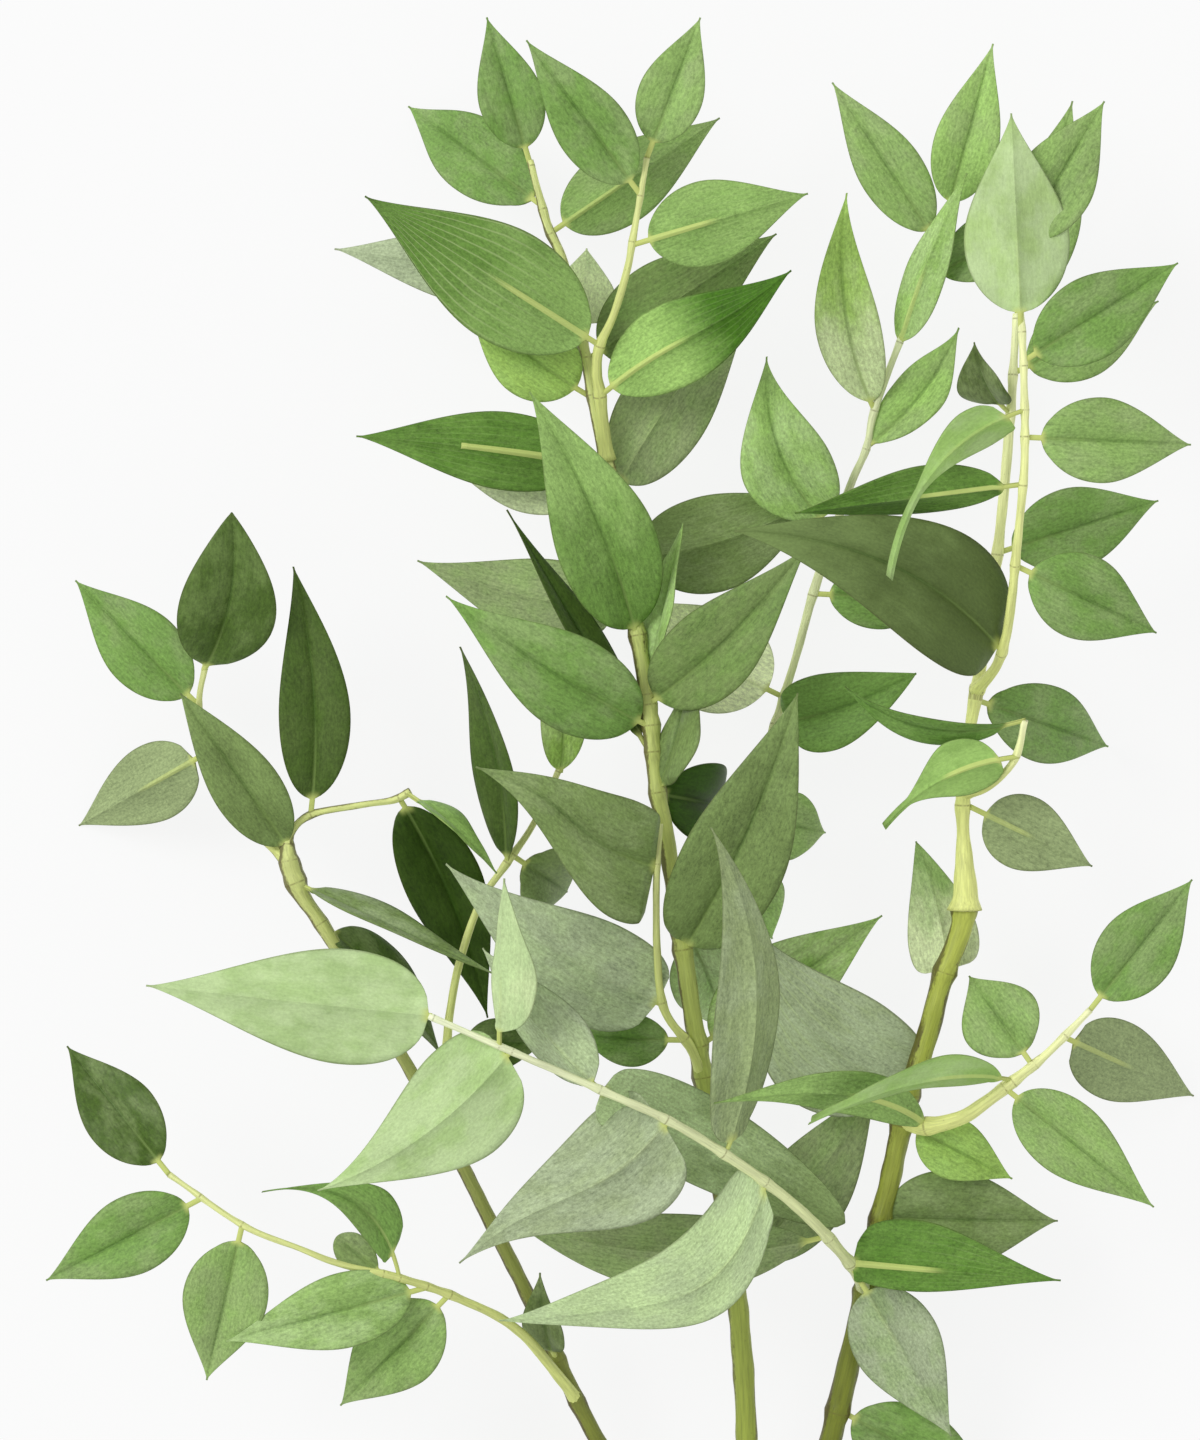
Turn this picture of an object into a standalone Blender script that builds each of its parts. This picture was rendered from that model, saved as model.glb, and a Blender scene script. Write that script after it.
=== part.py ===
"""A cut ruscus stem lying on a table: one stem that forks into three, side twigs and pointed leaves.

All places are in millimetres on a plan: x to the right, y towards the tips, z up from the table.
Each point is moved by PLAN_ORIGIN as it is placed, so that the origin is below the middle of the stem.
"""

from collections import namedtuple
from math import cos, log, pi, radians, sin

import bmesh
import bpy
from mathutils import Vector

MM = 0.001

# Driving sizes in millimetres
PLAN_ORIGIN = Vector((8, -117, 0))
BLADE_THICKNESS = 0.7
PETIOLE_WIDTH = 1.7
TIP_WIDTH = 0.9
CUT_END_RADIUS = 3.8
TWIG_GAP = 0.3
SETTLING_LENGTH = 3.0
STUB_SWELL = 1.2
TUBE_STEP = 17.0

# Shape of a blade: the fold along its rib and the places where its outline is drawn
FOLD_ANGLE = radians(11)
BLADE_STATIONS = (0.0, 0.07, 0.2, 0.36, 0.53, 0.7, 0.86, 1.0)

# Which side of a leaf is turned up, and the height at which a drooping tip rests on the table
UPPER = 1
UNDER = -1
TABLE = 0

Leaf = namedtuple("Leaf", "root tip width roll arch bow face petiole widest fullness taper "
                          "lean swerve skew end")


def leaf(root, tip, width, roll=0, arch=3, bow=0, face=UPPER, petiole=5, widest=0.36,
         fullness=0.8, taper=1.2, lean=0, swerve=0, skew=0, end=TIP_WIDTH):
    """A leaf from its root on the stem to its tip.

    Roll turns it edge-on, arch and bow bend it, and swerve bends it like an S. Fullness and taper
    shape its outline below and above the widest place, end is how wide its tip stays. Lean widens
    the half on its right, skew moves that half forward.
    """
    return Leaf(Vector(root), Vector(tip), width, radians(roll), arch, bow, face, petiole, widest,
                fullness, taper, lean, swerve, skew, end)


# Stems and twigs as (x, y, z, radius), each from its lower end to its tip
MAIN_STEM = [
    (48, -444, CUT_END_RADIUS, CUT_END_RADIUS), (47, -370, 5, 3.7), (46, -300, 10, 3.8),
    (45, -234, 24, 3.3), (41, -171, 38, 3.1), (32, -114, 48, 3.0), (28, -90, 52, 2.8),
    (25, -70, 54, 2.7), (20, -36, 57, 2.6), (17, -20, 58, 2.5), (15, 0, 58, 2.5),
    (12, 21, 58, 2.4), (7, 48, 58, 2.3), (3, 72, 58, 2.2), (-1, 90, 58, 1.7),
    (-5, 112, 57, 1.6), (-11, 137, 55, 1.5), (-16, 149, 54, 1.3), (-21, 168, 52, 0.9),
]
LEFT_STEM = [
    (46, -300, 10, 3.2), (28, -262, 14, 3.0), (0, -219, 22, 2.5), (-22, -173, 32, 2.3),
    (-33, -151, 36, 2.2), (-42, -133, 39, 2.1), (-55, -109, 42, 2.0), (-82, -64, 44, 2.1),
    (-89, -54, 44, 2.5), (-92.5, -46, 44, 3.1), (-94, -39, 44, 2.2), (-93, -34, 44, 1.3),
    (-87, -28.5, 44, 1.1), (-72, -25.5, 45, 1.0), (-62, -24, 45, 1.0), (-57, -21.5, 46, 1.1),
]
LEFT_SPUR = [
    (-94, -42, 43.5, 1.5), (-103, -34, 41, 1.3), (-112, -24, 40, 1.1), (-119, -8, 42, 1.0),
    (-120.5, 5, 45.5, 0.9), (-118.5, 17, 47, 0.8),
]
RIGHT_STEM = [
    (46, -300, 10, 3.4), (58, -262, 16, 3.4), (70, -215, 26, 3.4), (80, -172, 36, 3.3),
    (83.5, -154, 39, 3.2), (87, -139.5, 41.5, 3.2), (90, -125, 44, 3.2), (93, -111, 46, 3.2),
    (96, -102.5, 47, 3.3), (99, -92.5, 48, 3.2), (103, -77.5, 50, 3.1), (106.5, -68, 51, 3.2),
    (109, -60, 51.5, 3.4), (109.5, -51, 52, 3.3),
]
RIGHT_SHOOT = [
    (109.5, -57, 52, 3.2), (109.5, -46, 53, 3.0), (109, -34, 53, 2.0), (109, -22, 54, 2.0),
    (111, -3, 55, 1.8), (113, 9, 55, 1.8), (119, 48, 56, 1.6), (123, 90, 55, 1.4),
    (125, 122, 52, 1.0),
]
RIGHT_SPUR = [
    (109, -22, 54, 1.6), (116, -20, 62, 1.3), (124, -12, 69, 1.1), (127, 0, 72, 0.9),
]
FRONT_TWIG = [
    (80, -172, 36, 1.9), (75, -163, 50, 1.8), (57, -144, 73, 1.6), (27, -123, 88, 1.4),
    (0, -110, 95, 1.2), (-30, -97, 99, 1.0), (-51, -88, 100, 0.9),
]
MID_LEFT_TWIG = [
    (-44, -129, 39.5, 1.3), (-46, -112, 40, 1.3), (-46, -97, 40, 1.3), (-45, -87, 39, 1.2),
    (-42, -72, 38, 1.2), (-36, -55, 37, 1.1), (-28, -43, 36, 1.1), (-21, -33, 36, 1.0),
    (-16, -23, 35, 0.9), (-12, -14, 35, 0.8),
]
TOP_TWIG = [
    (2, 78, 58, 1.8), (0, 97, 63, 1.7), (-1, 104, 66, 1.6), (0, 112, 69, 1.4),
    (4, 121, 73, 1.2), (8, 134, 76, 1.1), (10, 145, 76, 1.0), (14, 168, 74, 0.8),
]
CENTRE_TWIG = [
    (31, -108, 49, 1.6), (27, -98, 55, 1.4), (19, -86, 59, 1.2), (17, -66, 62, 1.1),
    (17, -45, 64, 1.0), (18, -31, 64, 0.9),
]
RIGHT_TWIG = [
    (22, -54, 55, 1.4), (32, -44, 48, 1.3), (44, -27, 42, 1.2), (53, 0, 40, 1.2),
    (59, 19, 40, 1.2), (65, 41, 42, 1.4), (74.5, 68.5, 44, 1.2), (80, 81.5, 45, 1.1),
    (82.5, 93, 46, 1.1), (90, 113.5, 48, 1.0), (99, 135, 48, 0.9), (104, 152, 47, 0.8),
]
UPPER_RIGHT_TWIG = [
    (113, 9, 55, 1.6), (119, 17, 69, 1.5), (122, 30, 86, 1.4), (124, 52, 100, 1.3),
    (126, 76, 105, 1.2), (126, 97, 106, 1.1), (125, 120, 106, 1.0), (123, 140, 104, 0.8),
]
LOWER_RIGHT_TWIG = [
    (91, -120, 45, 2.1), (97, -122, 52, 2.3), (109, -119, 56, 2.2), (119, -112, 58, 1.8),
    (133, -101, 58, 1.3), (147, -87, 55, 0.9),
]
LOWER_LEFT_TWIG = [
    (-7, -205, 25, 1.6), (-24, -184, 46, 1.5), (-41, -174, 58, 1.3), (-60, -167, 66, 1.1),
    (-77, -163, 69, 1.0), (-90, -158, 70, 0.9), (-107, -151, 70, 0.9), (-129, -136, 66, 0.8),
]

MAIN_LEAVES = [
    leaf((-10, 132, 55), (-80, 142, 30), 23, face=UNDER),
    leaf((-3, 97, 57), (-41, 128, 62), 25, bow=-2),
    leaf((2, 76, 58), (-73, 85, 62), 24, bow=1, face=UNDER),
    leaf((3, 70, 57), (-54, 84, 36), 28, face=UNDER),
    leaf((11, 25, 59), (-21, 98, 80), 31, arch=5, bow=3, petiole=3),
    leaf((14.5, -9, 57), (-28, 63, 58), 14, roll=-45, arch=0, taper=1.4),
    leaf((15, -2, 59), (-46, 37, 76), 29, arch=5, bow=-2, petiole=4, taper=1.3),
    leaf((9, 33, 57), (-55, 48, 32), 26, arch=-6, bow=-3, face=UNDER),
    leaf((7, 48, 57), (69, 69, 40), 30, bow=4, face=UNDER),
    leaf((14, 8, 57), (25, 59, 64), 19, roll=62, arch=0),
    leaf((15, 5, 59), (62, 52, 88), 27, roll=5, arch=5, bow=3, petiole=3),
    leaf((25, -69, 55), (59, 8, 84), 32, arch=4, bow=3, petiole=2, fullness=0.6, taper=1.05),
    leaf((17, -22, 57), (33, -25, 14), 25, arch=8, petiole=2, fullness=0.6, taper=0.8),
    leaf((18, -21, 59), (27, 13, 52), 23, roll=52, bow=5, petiole=1, fullness=0.5, lean=0.5),
    leaf((25, -62, 54), (36, -93, 14), 24, bow=-2),
    leaf((4, 67, 57), (47, 126, 42), 28, bow=-3, face=UNDER),
    leaf((-4, 108, 57), (53, 146, 50), 29, face=UNDER),
    leaf((-6, 114, 56), (-4, 142, 34), 20, face=UNDER),
    leaf((-15, 146, 54), (36, 181, 44), 24, face=UNDER),
    leaf((30, -98, 50), (85, -59, 30), 28, arch=-6),
    leaf((-21, 167, 52), (-34, 211, 50), 20, arch=2),
    leaf((-17, 154, 53), (-58, 186, TABLE), 24),
    leaf((46.5, -345, 7), (-2, -372, 6), 27),
    leaf((46, -322, 8), (98, -342, 6), 27, face=UNDER),
    leaf((42.5, -166, 38), (84, -108, 30), 27, bow=2, face=UNDER),
]
LEFT_LEAVES = [
    leaf((-119, 15, 47), (-110, 62, 74), 30, arch=2, bow=4, petiole=2, widest=0.42, taper=0.85),
    leaf((-120.3, 4, 45), (-158, 42, 34), 24),
    leaf((-118.5, -10, 41.5), (-158, -32, TABLE), 24, face=UNDER),
    leaf((-87, -28.5, 44), (-92, 46, 56), 22, bow=3.5, taper=1.1),
    leaf((-94, -38, 45), (-126, 8, 50), 21, petiole=1, taper=1),
    leaf((-60, -24, 45), (-34, -90, 14), 24, arch=-3, bow=-3, petiole=3),
    leaf((-58, -22, 46), (-31, -46, 56), 17, roll=72, bow=5),
    leaf((-91, -49, 44), (-32, -76, 62), 17, roll=66, arch=2, bow=5),
    leaf((-84, -61, 44), (-48, -101, 24), 22, roll=50),
    leaf((-13, -193, 28), (-18, -166, 52), 14, roll=30),
    leaf((2, -222, 21), (-52, -246, 8), 27),
]
RIGHT_LEAVES = [
    leaf((104.5, -76, 48.5), (95, -36.5, 43), 22, arch=-2, bow=1.5, face=UNDER, petiole=1,
         widest=0.24, fullness=0.45, taper=0.9),
    leaf((93, -112, 46), (43, -58, 52), 41, bow=-9, face=UNDER, petiole=1, widest=0.3,
         fullness=0.65),
    leaf((84, -150, 40), (138, -151, 30), 31, petiole=2, fullness=0.6),
    leaf((91, -121, 44), (124, -138, 42), 19),
    leaf((127, 0, 72), (73, 10, 84), 12, roll=50, bow=-8, taper=1),
    leaf((125, -11, 70), (85, -32, 66), 19, roll=20, bow=6, face=UNDER, widest=0.28, taper=2.6,
         end=2.4),
    leaf((111, -26, 54), (148, -44, 44), 23, face=UNDER),
    leaf((113, 6, 55), (154, -8, TABLE), 24),
    leaf((119, 50, 56), (168, 66, 38), 25),
    leaf((123, 92, 55), (112, 113, 68), 20, roll=50),
    leaf((124, 104, 54), (168, 126, 40), 24),
    leaf((125, 121, 52), (142, 186, 46), 24),
    leaf((72, -208, 28), (122, -236, 12), 27),
]
FRONT_LEAVES = [
    leaf((-50, -88, 100), (-135, -79, 98), 35, arch=5, face=UNDER, petiole=1, widest=0.3),
    leaf((-27, -99, 98), (-84, -140, 98), 35, bow=-5, face=UNDER, petiole=1, widest=0.26,
         fullness=0.65, taper=1.3),
    leaf((-30, -97, 99), (-28.5, -47, 112), 21, roll=55, bow=4, face=UNDER, lean=0.3),
    leaf((0, -110, 95), (-35, -68, 88), 25, roll=42, face=UNDER, petiole=3),
    leaf((20, -120, 90), (-42, -162, 84), 37, bow=-1.7, face=UNDER, petiole=1, widest=0.2,
         fullness=0.55, taper=1.3, swerve=-2.2),
    leaf((67, -155, 60), (-25, -151, 50), 24, arch=-4, bow=-7, face=UNDER, widest=0.45, taper=0.9),
    leaf((49.5, -138.5, 78), (-30, -179, 88), 27, bow=-17, face=UNDER, petiole=1, widest=0.26,
         fullness=0.5, taper=1.05, lean=0.2, swerve=-3.5),
    leaf((75, -163, 50), (106, -216, 28), 27, face=UNDER, petiole=10),
    leaf((0, -110, 94), (73.5, -151, 52), 27, arch=-6, bow=-1, face=UNDER, petiole=1, widest=0.4,
         fullness=0.4, taper=0.5),
    leaf((38, -128, 84), (33, -32, 110), 27, roll=-42, bow=12, face=UNDER, petiole=2, fullness=0.6),
    leaf((75, -163, 50), (138, -168, 62), 22, face=UNDER, petiole=1, widest=0.28, fullness=0.5,
         lean=-0.35),
]
MID_LEFT_LEAVES = [
    leaf((-28, -43, 36), (-42, 22, 48), 17, roll=45, bow=8, petiole=2, widest=0.4),
    leaf((-26, -41, 36), (-10, -52, 6), 24),
    leaf((-12, -16, 35), (-17, 24, 36), 14, bow=3, petiole=1),
    leaf((-46, -98, 40), (-16, -97, 34), 16),
]
TOP_LEAVES = [
    leaf((0, 112, 69), (-70, 156, 90), 35, arch=5, face=UNDER),
    leaf((0, 97, 63), (57, 134, 86), 26, arch=4, face=UNDER, swerve=-1),
    leaf((10, 142, 76), (62, 157, 84), 26, arch=4, face=UNDER),
    leaf((14, 168, 74), (30, 210, 72), 20),
    leaf((12, 157, 75), (-22, 203, 78), 22),
]
CENTRE_LEAVES = [
    leaf((17, -44, 64), (-37, -14, 86), 35, arch=4, bow=0, petiole=1, widest=0.18, fullness=0.42,
         taper=1.15, lean=-0.05, swerve=-2, skew=0.36),
    leaf((18, -85, 59), (-46, -43, 76), 33, arch=4, bow=-4, face=UNDER, petiole=1, widest=0.27,
         fullness=0.55),
    leaf((25.5, -96, 56), (-8, -94, 42), 17, roll=10),
]
RIGHT_TWIG_LEAVES = [
    leaf((82.5, 93, 46), (74, 158, 58), 20, bow=-5, petiole=3),
    leaf((90, 113, 48), (110, 164, 56), 14, roll=25, face=UNDER, petiole=1),
    leaf((80, 82, 45), (108, 118, 40), 17, roll=20, arch=1, bow=4, petiole=2, widest=0.45,
         taper=1.4),
    leaf((70, 57, 43.5), (50, 109, 56), 28, bow=-6.5, taper=1.3),
    leaf((55, 7, 40), (9, 37, 32), 32, bow=-2, face=UNDER),
    leaf((53, -1, 40), (95, 14, 50), 24, bow=2, petiole=3, widest=0.3, fullness=0.55, taper=0.9),
    leaf((64, 38, 42), (106, 36, 28), 20),
    leaf((43, -29, 42.5), (68, -34, 24), 21),
    leaf((35, -40, 47), (52, -66, 20), 24),
    leaf((104, 151, 47), (118, 203, 52), 20),
    leaf((101.5, 143, 48), (70, 192, 34), 20),
    leaf((98, 132, 48), (148, 160, 42), 20),
]
UPPER_RIGHT_LEAVES = [
    leaf((120.5, 20, 74), (40, 56, 114), 38, arch=5, bow=10, petiole=3, widest=0.27, taper=1),
    leaf((125, 70, 104), (58, 61.5, 96), 20, roll=45, bow=3, face=UNDER),
    leaf((126, 92, 106), (86, 42, 112), 16, roll=30, bow=13, face=UNDER, widest=0.14, taper=2.6,
         end=3),
    leaf((125, 116, 106), (122, 180, 110), 32, face=UNDER),
    leaf((125, 106, 106), (172, 136, 94), 25),
    leaf((126, 84, 105), (176, 82, 90), 26),
    leaf((123.5, 46, 96), (166, 26, 82), 26),
    leaf((123, 139, 104), (150, 184, 98), 24),
]
LOWER_RIGHT_LEAVES = [
    leaf((98, -121.5, 52), (34, -114, 98), 16, roll=30, arch=4, bow=10, face=UNDER, petiole=2),
    leaf((124, -108, 58), (63, -120, 86), 17, roll=58, arch=0, bow=10, face=UNDER, end=5),
    leaf((130, -104, 58), (111, -77, 44), 25),
    leaf((147, -87, 55), (178, -48, 44), 24),
    leaf((139, -95, 57), (180, -114, TABLE), 25, face=UNDER),
    leaf((121, -110, 58), (166, -146, 60), 23),
]
LOWER_LEFT_LEAVES = [
    leaf((-60, -167, 66), (-101, -141, 76), 15.5, bow=12, petiole=6, widest=0.25, fullness=0.6,
         taper=2, lean=0.2),
    leaf((-65, -166, 67), (-79, -155, 58), 11, petiole=2, widest=0.45, fullness=0.6, taper=0.6),
    leaf((-107, -151, 70), (-118, -198, 54), 26),
    leaf((-52, -170, 63), (-112, -186, 66), 23),
    leaf((-45, -172, 60), (-78, -206, 46), 26),
    leaf((-129, -136, 66), (-160, -98, 50), 23),
    leaf((-119, -143, 68), (-166, -168, 58), 24),
]

LEAF_MID = (0.12, 0.24, 0.06, 1)
LEAF_DEEP = (0.07, 0.15, 0.035, 1)
LEAF_GREY = (0.24, 0.33, 0.15, 1)
LEAF_PALE = (0.36, 0.52, 0.20, 1)
LEAF_BRIGHT = (0.20, 0.42, 0.09, 1)
LEAF_ROUGHNESS = 0.7
THICK_SIDES = 2
THIN_SIDES = 1

# A branch starts on its parent with a stub of this length; shoots are further tubes that grow from it
Branch = namedtuple("Branch", "name parent stub_length sides route shoots leaves colour")
BRANCHES = [
    Branch("main_stem", None, 0, THICK_SIDES, MAIN_STEM, [], MAIN_LEAVES, LEAF_MID),
    Branch("left_stem", "main_stem", 22, THICK_SIDES, LEFT_STEM, [LEFT_SPUR], LEFT_LEAVES, LEAF_DEEP),
    Branch("right_stem", "main_stem", 30, THICK_SIDES, RIGHT_STEM, [RIGHT_SHOOT, RIGHT_SPUR],
           RIGHT_LEAVES, LEAF_MID),
    Branch("top_twig", "main_stem", 16, THIN_SIDES, TOP_TWIG, [], TOP_LEAVES, LEAF_MID),
    Branch("centre_twig", "main_stem", 12, THIN_SIDES, CENTRE_TWIG, [], CENTRE_LEAVES, LEAF_GREY),
    Branch("right_twig", "main_stem", 8, THIN_SIDES, RIGHT_TWIG, [], RIGHT_TWIG_LEAVES, LEAF_BRIGHT),
    Branch("front_twig", "right_stem", 9, THIN_SIDES, FRONT_TWIG, [], FRONT_LEAVES, LEAF_PALE),
    Branch("upper_right_twig", "right_stem", 6.5, THIN_SIDES, UPPER_RIGHT_TWIG, [],
           UPPER_RIGHT_LEAVES, LEAF_BRIGHT),
    Branch("lower_right_twig", "right_stem", 8, THIN_SIDES, LOWER_RIGHT_TWIG, [],
           LOWER_RIGHT_LEAVES, LEAF_MID),
    Branch("mid_left_twig", "left_stem", 12, THIN_SIDES, MID_LEFT_TWIG, [], MID_LEFT_LEAVES, LEAF_DEEP),
    Branch("lower_left_twig", "left_stem", 11, THIN_SIDES, LOWER_LEFT_TWIG, [], LOWER_LEFT_LEAVES,
           LEAF_MID),
]


def make_collection(name):
    """A new collection in the scene."""
    collection = bpy.data.collections.new(name)
    bpy.context.scene.collection.children.link(collection)
    return collection


def sampled_route(points, step):
    """Smooth points with radii along a Catmull-Rom curve, about a step apart."""
    rows = [Vector(p[:3]).to_4d() for p in points]
    for row, point in zip(rows, points):
        row.w = point[3]
    rows = [2 * rows[0] - rows[1]] + rows + [2 * rows[-1] - rows[-2]]
    samples = []
    for a, b, c, d in zip(rows, rows[1:], rows[2:], rows[3:]):
        count = max(1, round((c.xyz - b.xyz).length / step))
        for i in range(count):
            t = i / count
            bend = (c - a) * t + (2 * a - 5 * b + 4 * c - d) * t * t + (3 * b - a - 3 * c + d) * t ** 3
            samples.append(b + bend / 2)
    samples.append(rows[-2].copy())
    return [(sample.xyz, sample.w) for sample in samples]


def tube(name, samples, sides, collection):
    """A closed tube through sampled points, each with its own radius."""
    curve = bpy.data.curves.new(name, "CURVE")
    curve.dimensions = "3D"
    curve.bevel_depth = MM
    curve.bevel_resolution = sides
    curve.use_fill_caps = True
    spline = curve.splines.new("POLY")
    spline.points.add(len(samples) - 1)
    for point, (place, radius) in zip(spline.points, samples):
        point.co = ((place - PLAN_ORIGIN) * MM).to_4d()
        point.radius = radius
    shaped = bpy.data.objects.new(name + "_curve", curve)
    collection.objects.link(shaped)
    bpy.context.view_layer.update()
    graph = bpy.context.evaluated_depsgraph_get()
    mesh = bpy.data.meshes.new_from_object(shaped.evaluated_get(graph))
    piece = bpy.data.objects.new(name, mesh)
    piece.matrix_world = shaped.matrix_world
    collection.objects.link(piece)
    bpy.data.objects.remove(shaped)
    shell = bmesh.new()
    shell.from_mesh(mesh)
    bmesh.ops.remove_doubles(shell, verts=shell.verts, dist=0.00001)
    bmesh.ops.recalc_face_normals(shell, faces=shell.faces)
    shell.to_mesh(mesh)
    shell.free()
    return piece


def half_width(leaf_spec, along):
    """Half the width of a blade at a share of its own length."""
    peak_power = log(0.5) / log(leaf_spec.widest)
    swell = sin(pi * along ** peak_power) if 0 < along < 1 else 0
    swell = swell ** (leaf_spec.fullness if along < leaf_spec.widest else leaf_spec.taper)
    narrowest = leaf_spec.end if along > leaf_spec.widest else PETIOLE_WIDTH
    return max(leaf_spec.width * swell, narrowest) / 2


def blade_point(leaf_spec, along, across):
    """A point of the leaf: along from 0 at the root to 1 at the tip, across from -1 to 1."""
    chord = leaf_spec.tip - leaf_spec.root
    axis = chord.normalized()
    flat_side = axis.cross(Vector((0, 0, 1))).normalized()
    flat_up = flat_side.cross(axis)
    side = flat_side * cos(leaf_spec.roll) + flat_up * sin(leaf_spec.roll)
    up = flat_up * cos(leaf_spec.roll) - flat_side * sin(leaf_spec.roll)
    bulge = 4 * along * (1 - along)
    sideways = leaf_spec.bow * bulge + leaf_spec.swerve * sin(2 * pi * along)
    point = leaf_spec.root + chord * along + up * leaf_spec.arch * bulge + side * sideways
    petiole_share = leaf_spec.petiole / chord.length
    blade_share = max(0, (along - petiole_share) / (1 - petiole_share))
    reach = half_width(leaf_spec, blade_share)
    if blade_share > 0:
        reach *= 1 + leaf_spec.lean * across
    outward = across * reach * cos(FOLD_ANGLE)
    point += side * outward + axis * leaf_spec.skew * outward * (1 - blade_share)
    point += up * abs(across) * reach * sin(FOLD_ANGLE) * leaf_spec.face
    point.z = max(point.z, BLADE_THICKNESS / 2)
    return point


def leaf_solid(name, leaf_spec, collection):
    """One leaf with its petiole, as a thin closed blade."""
    petiole_share = leaf_spec.petiole / (leaf_spec.tip - leaf_spec.root).length
    stations = [0] + [petiole_share + (1 - petiole_share) * s for s in BLADE_STATIONS]
    sheet = bmesh.new()
    bmesh.ops.create_grid(sheet, x_segments=len(stations) - 1, y_segments=2, size=1)
    for vertex in sheet.verts:
        station = round((vertex.co.x + 1) / 2 * (len(stations) - 1))
        place = blade_point(leaf_spec, stations[station], round(vertex.co.y))
        vertex.co = (place - PLAN_ORIGIN) * MM
    bmesh.ops.triangulate(sheet, faces=sheet.faces, quad_method="FIXED")
    mesh = bpy.data.meshes.new(name)
    sheet.to_mesh(mesh)
    sheet.free()
    blade = bpy.data.objects.new(name, mesh)
    collection.objects.link(blade)
    wall = blade.modifiers.new("thickness", "SOLIDIFY")
    wall.thickness = BLADE_THICKNESS * MM
    wall.offset = 0
    return blade


def finish_material(name, colour):
    """A leaf and stem material in the main colour of one leafy stem."""
    material = bpy.data.materials.new(name)
    material.use_nodes = True
    shader = material.node_tree.nodes["Principled BSDF"]
    shader.inputs["Base Color"].default_value = colour
    shader.inputs["Roughness"].default_value = LEAF_ROUGHNESS
    shader.inputs["Metallic"].default_value = 0
    return material


def fuse(body, pieces):
    """Join the pieces in a collection to the body, and remove them."""
    union = body.modifiers.new("join", "BOOLEAN")
    union.operation = "UNION"
    union.operand_type = "COLLECTION"
    union.collection = pieces
    union.solver = "EXACT"
    with bpy.context.temp_override(object=body, active_object=body):
        bpy.ops.object.modifier_apply(modifier=union.name)
    for piece in list(pieces.objects):
        bpy.data.objects.remove(piece)
    bpy.data.collections.remove(pieces)


def split_at_joint(branch):
    """The swollen stub that stays on the parent, and the samples of the branch beyond the gap."""
    samples = sampled_route(branch.route, TUBE_STEP)
    start = samples[0][0]
    heading = (samples[1][0] - start).normalized()
    radius = branch.route[0][3]
    stub_end = start + heading * branch.stub_length
    branch_start = stub_end + heading * TWIG_GAP
    settled = branch_start + heading * SETTLING_LENGTH
    stub = [(start, radius * STUB_SWELL), (stub_end, radius * STUB_SWELL)]
    settled_reach = branch.stub_length + TWIG_GAP + 2 * SETTLING_LENGTH
    beyond = [s for s in samples[1:] if (s[0] - start).dot(heading) > settled_reach]
    return stub, [(branch_start, radius), (settled, radius)] + beyond


def leafy_stem(branch, body_samples, joined_tubes, collection):
    """One leafy stem or twig: its tube, the tubes that grow from it and its leaves, fused."""
    body = tube(branch.name, body_samples, branch.sides, collection)
    pieces = make_collection(branch.name + "_pieces")
    for index, samples in enumerate(joined_tubes):
        tube(f"{branch.name}_tube_{index}", samples, THIN_SIDES, pieces)
    for index, spec in enumerate(branch.leaves):
        leaf_solid(f"{branch.name}_leaf_{index}", spec, pieces)
    fuse(body, pieces)
    body.data.materials.clear()
    body.data.materials.append(finish_material(branch.name, branch.colour))


def build():
    for item in list(bpy.data.objects):
        bpy.data.objects.remove(item)
    collection = make_collection("ruscus_stem")
    tubes_on = {branch.name: [] for branch in BRANCHES}
    bodies = {}
    for branch in BRANCHES:
        if branch.parent:
            stub, bodies[branch.name] = split_at_joint(branch)
            tubes_on[branch.parent].append(stub)
        else:
            bodies[branch.name] = sampled_route(branch.route, TUBE_STEP)
        tubes_on[branch.name] += [sampled_route(route, TUBE_STEP) for route in branch.shoots]
    for branch in BRANCHES:
        leafy_stem(branch, bodies[branch.name], tubes_on[branch.name], collection)


build()
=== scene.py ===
"""Finishes a cut ruscus stem that lies on a pale table, seen from straight above.

Every leaf is a copy of one modelled strip, bent to the leaf's own outline, fold and sweep.
Places are in millimetres on the plan of the stem: x to the right, y towards the tips, z up.
"""

import random
from collections import namedtuple
from math import cos, log, pi, radians, sin, tau

import bpy
import numpy as np
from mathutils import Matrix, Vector, noise


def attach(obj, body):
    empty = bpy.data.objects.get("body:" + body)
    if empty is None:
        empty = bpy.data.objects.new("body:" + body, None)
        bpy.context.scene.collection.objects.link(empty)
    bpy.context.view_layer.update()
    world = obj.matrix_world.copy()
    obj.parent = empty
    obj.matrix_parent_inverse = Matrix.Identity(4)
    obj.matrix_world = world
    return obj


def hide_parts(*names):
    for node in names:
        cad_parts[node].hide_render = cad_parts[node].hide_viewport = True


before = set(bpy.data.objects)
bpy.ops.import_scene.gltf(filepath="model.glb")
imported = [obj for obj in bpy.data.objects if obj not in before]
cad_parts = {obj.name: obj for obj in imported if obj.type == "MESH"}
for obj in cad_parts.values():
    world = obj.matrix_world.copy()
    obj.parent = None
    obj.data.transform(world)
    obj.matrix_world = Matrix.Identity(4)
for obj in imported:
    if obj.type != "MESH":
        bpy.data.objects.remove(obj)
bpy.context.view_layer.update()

MM = 0.001
PLAN_ORIGIN = Vector((8, -117, 0))
TABLE = 0

# Which skin of a leaf looks up
UPPER = 1
UNDER = -1

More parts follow.
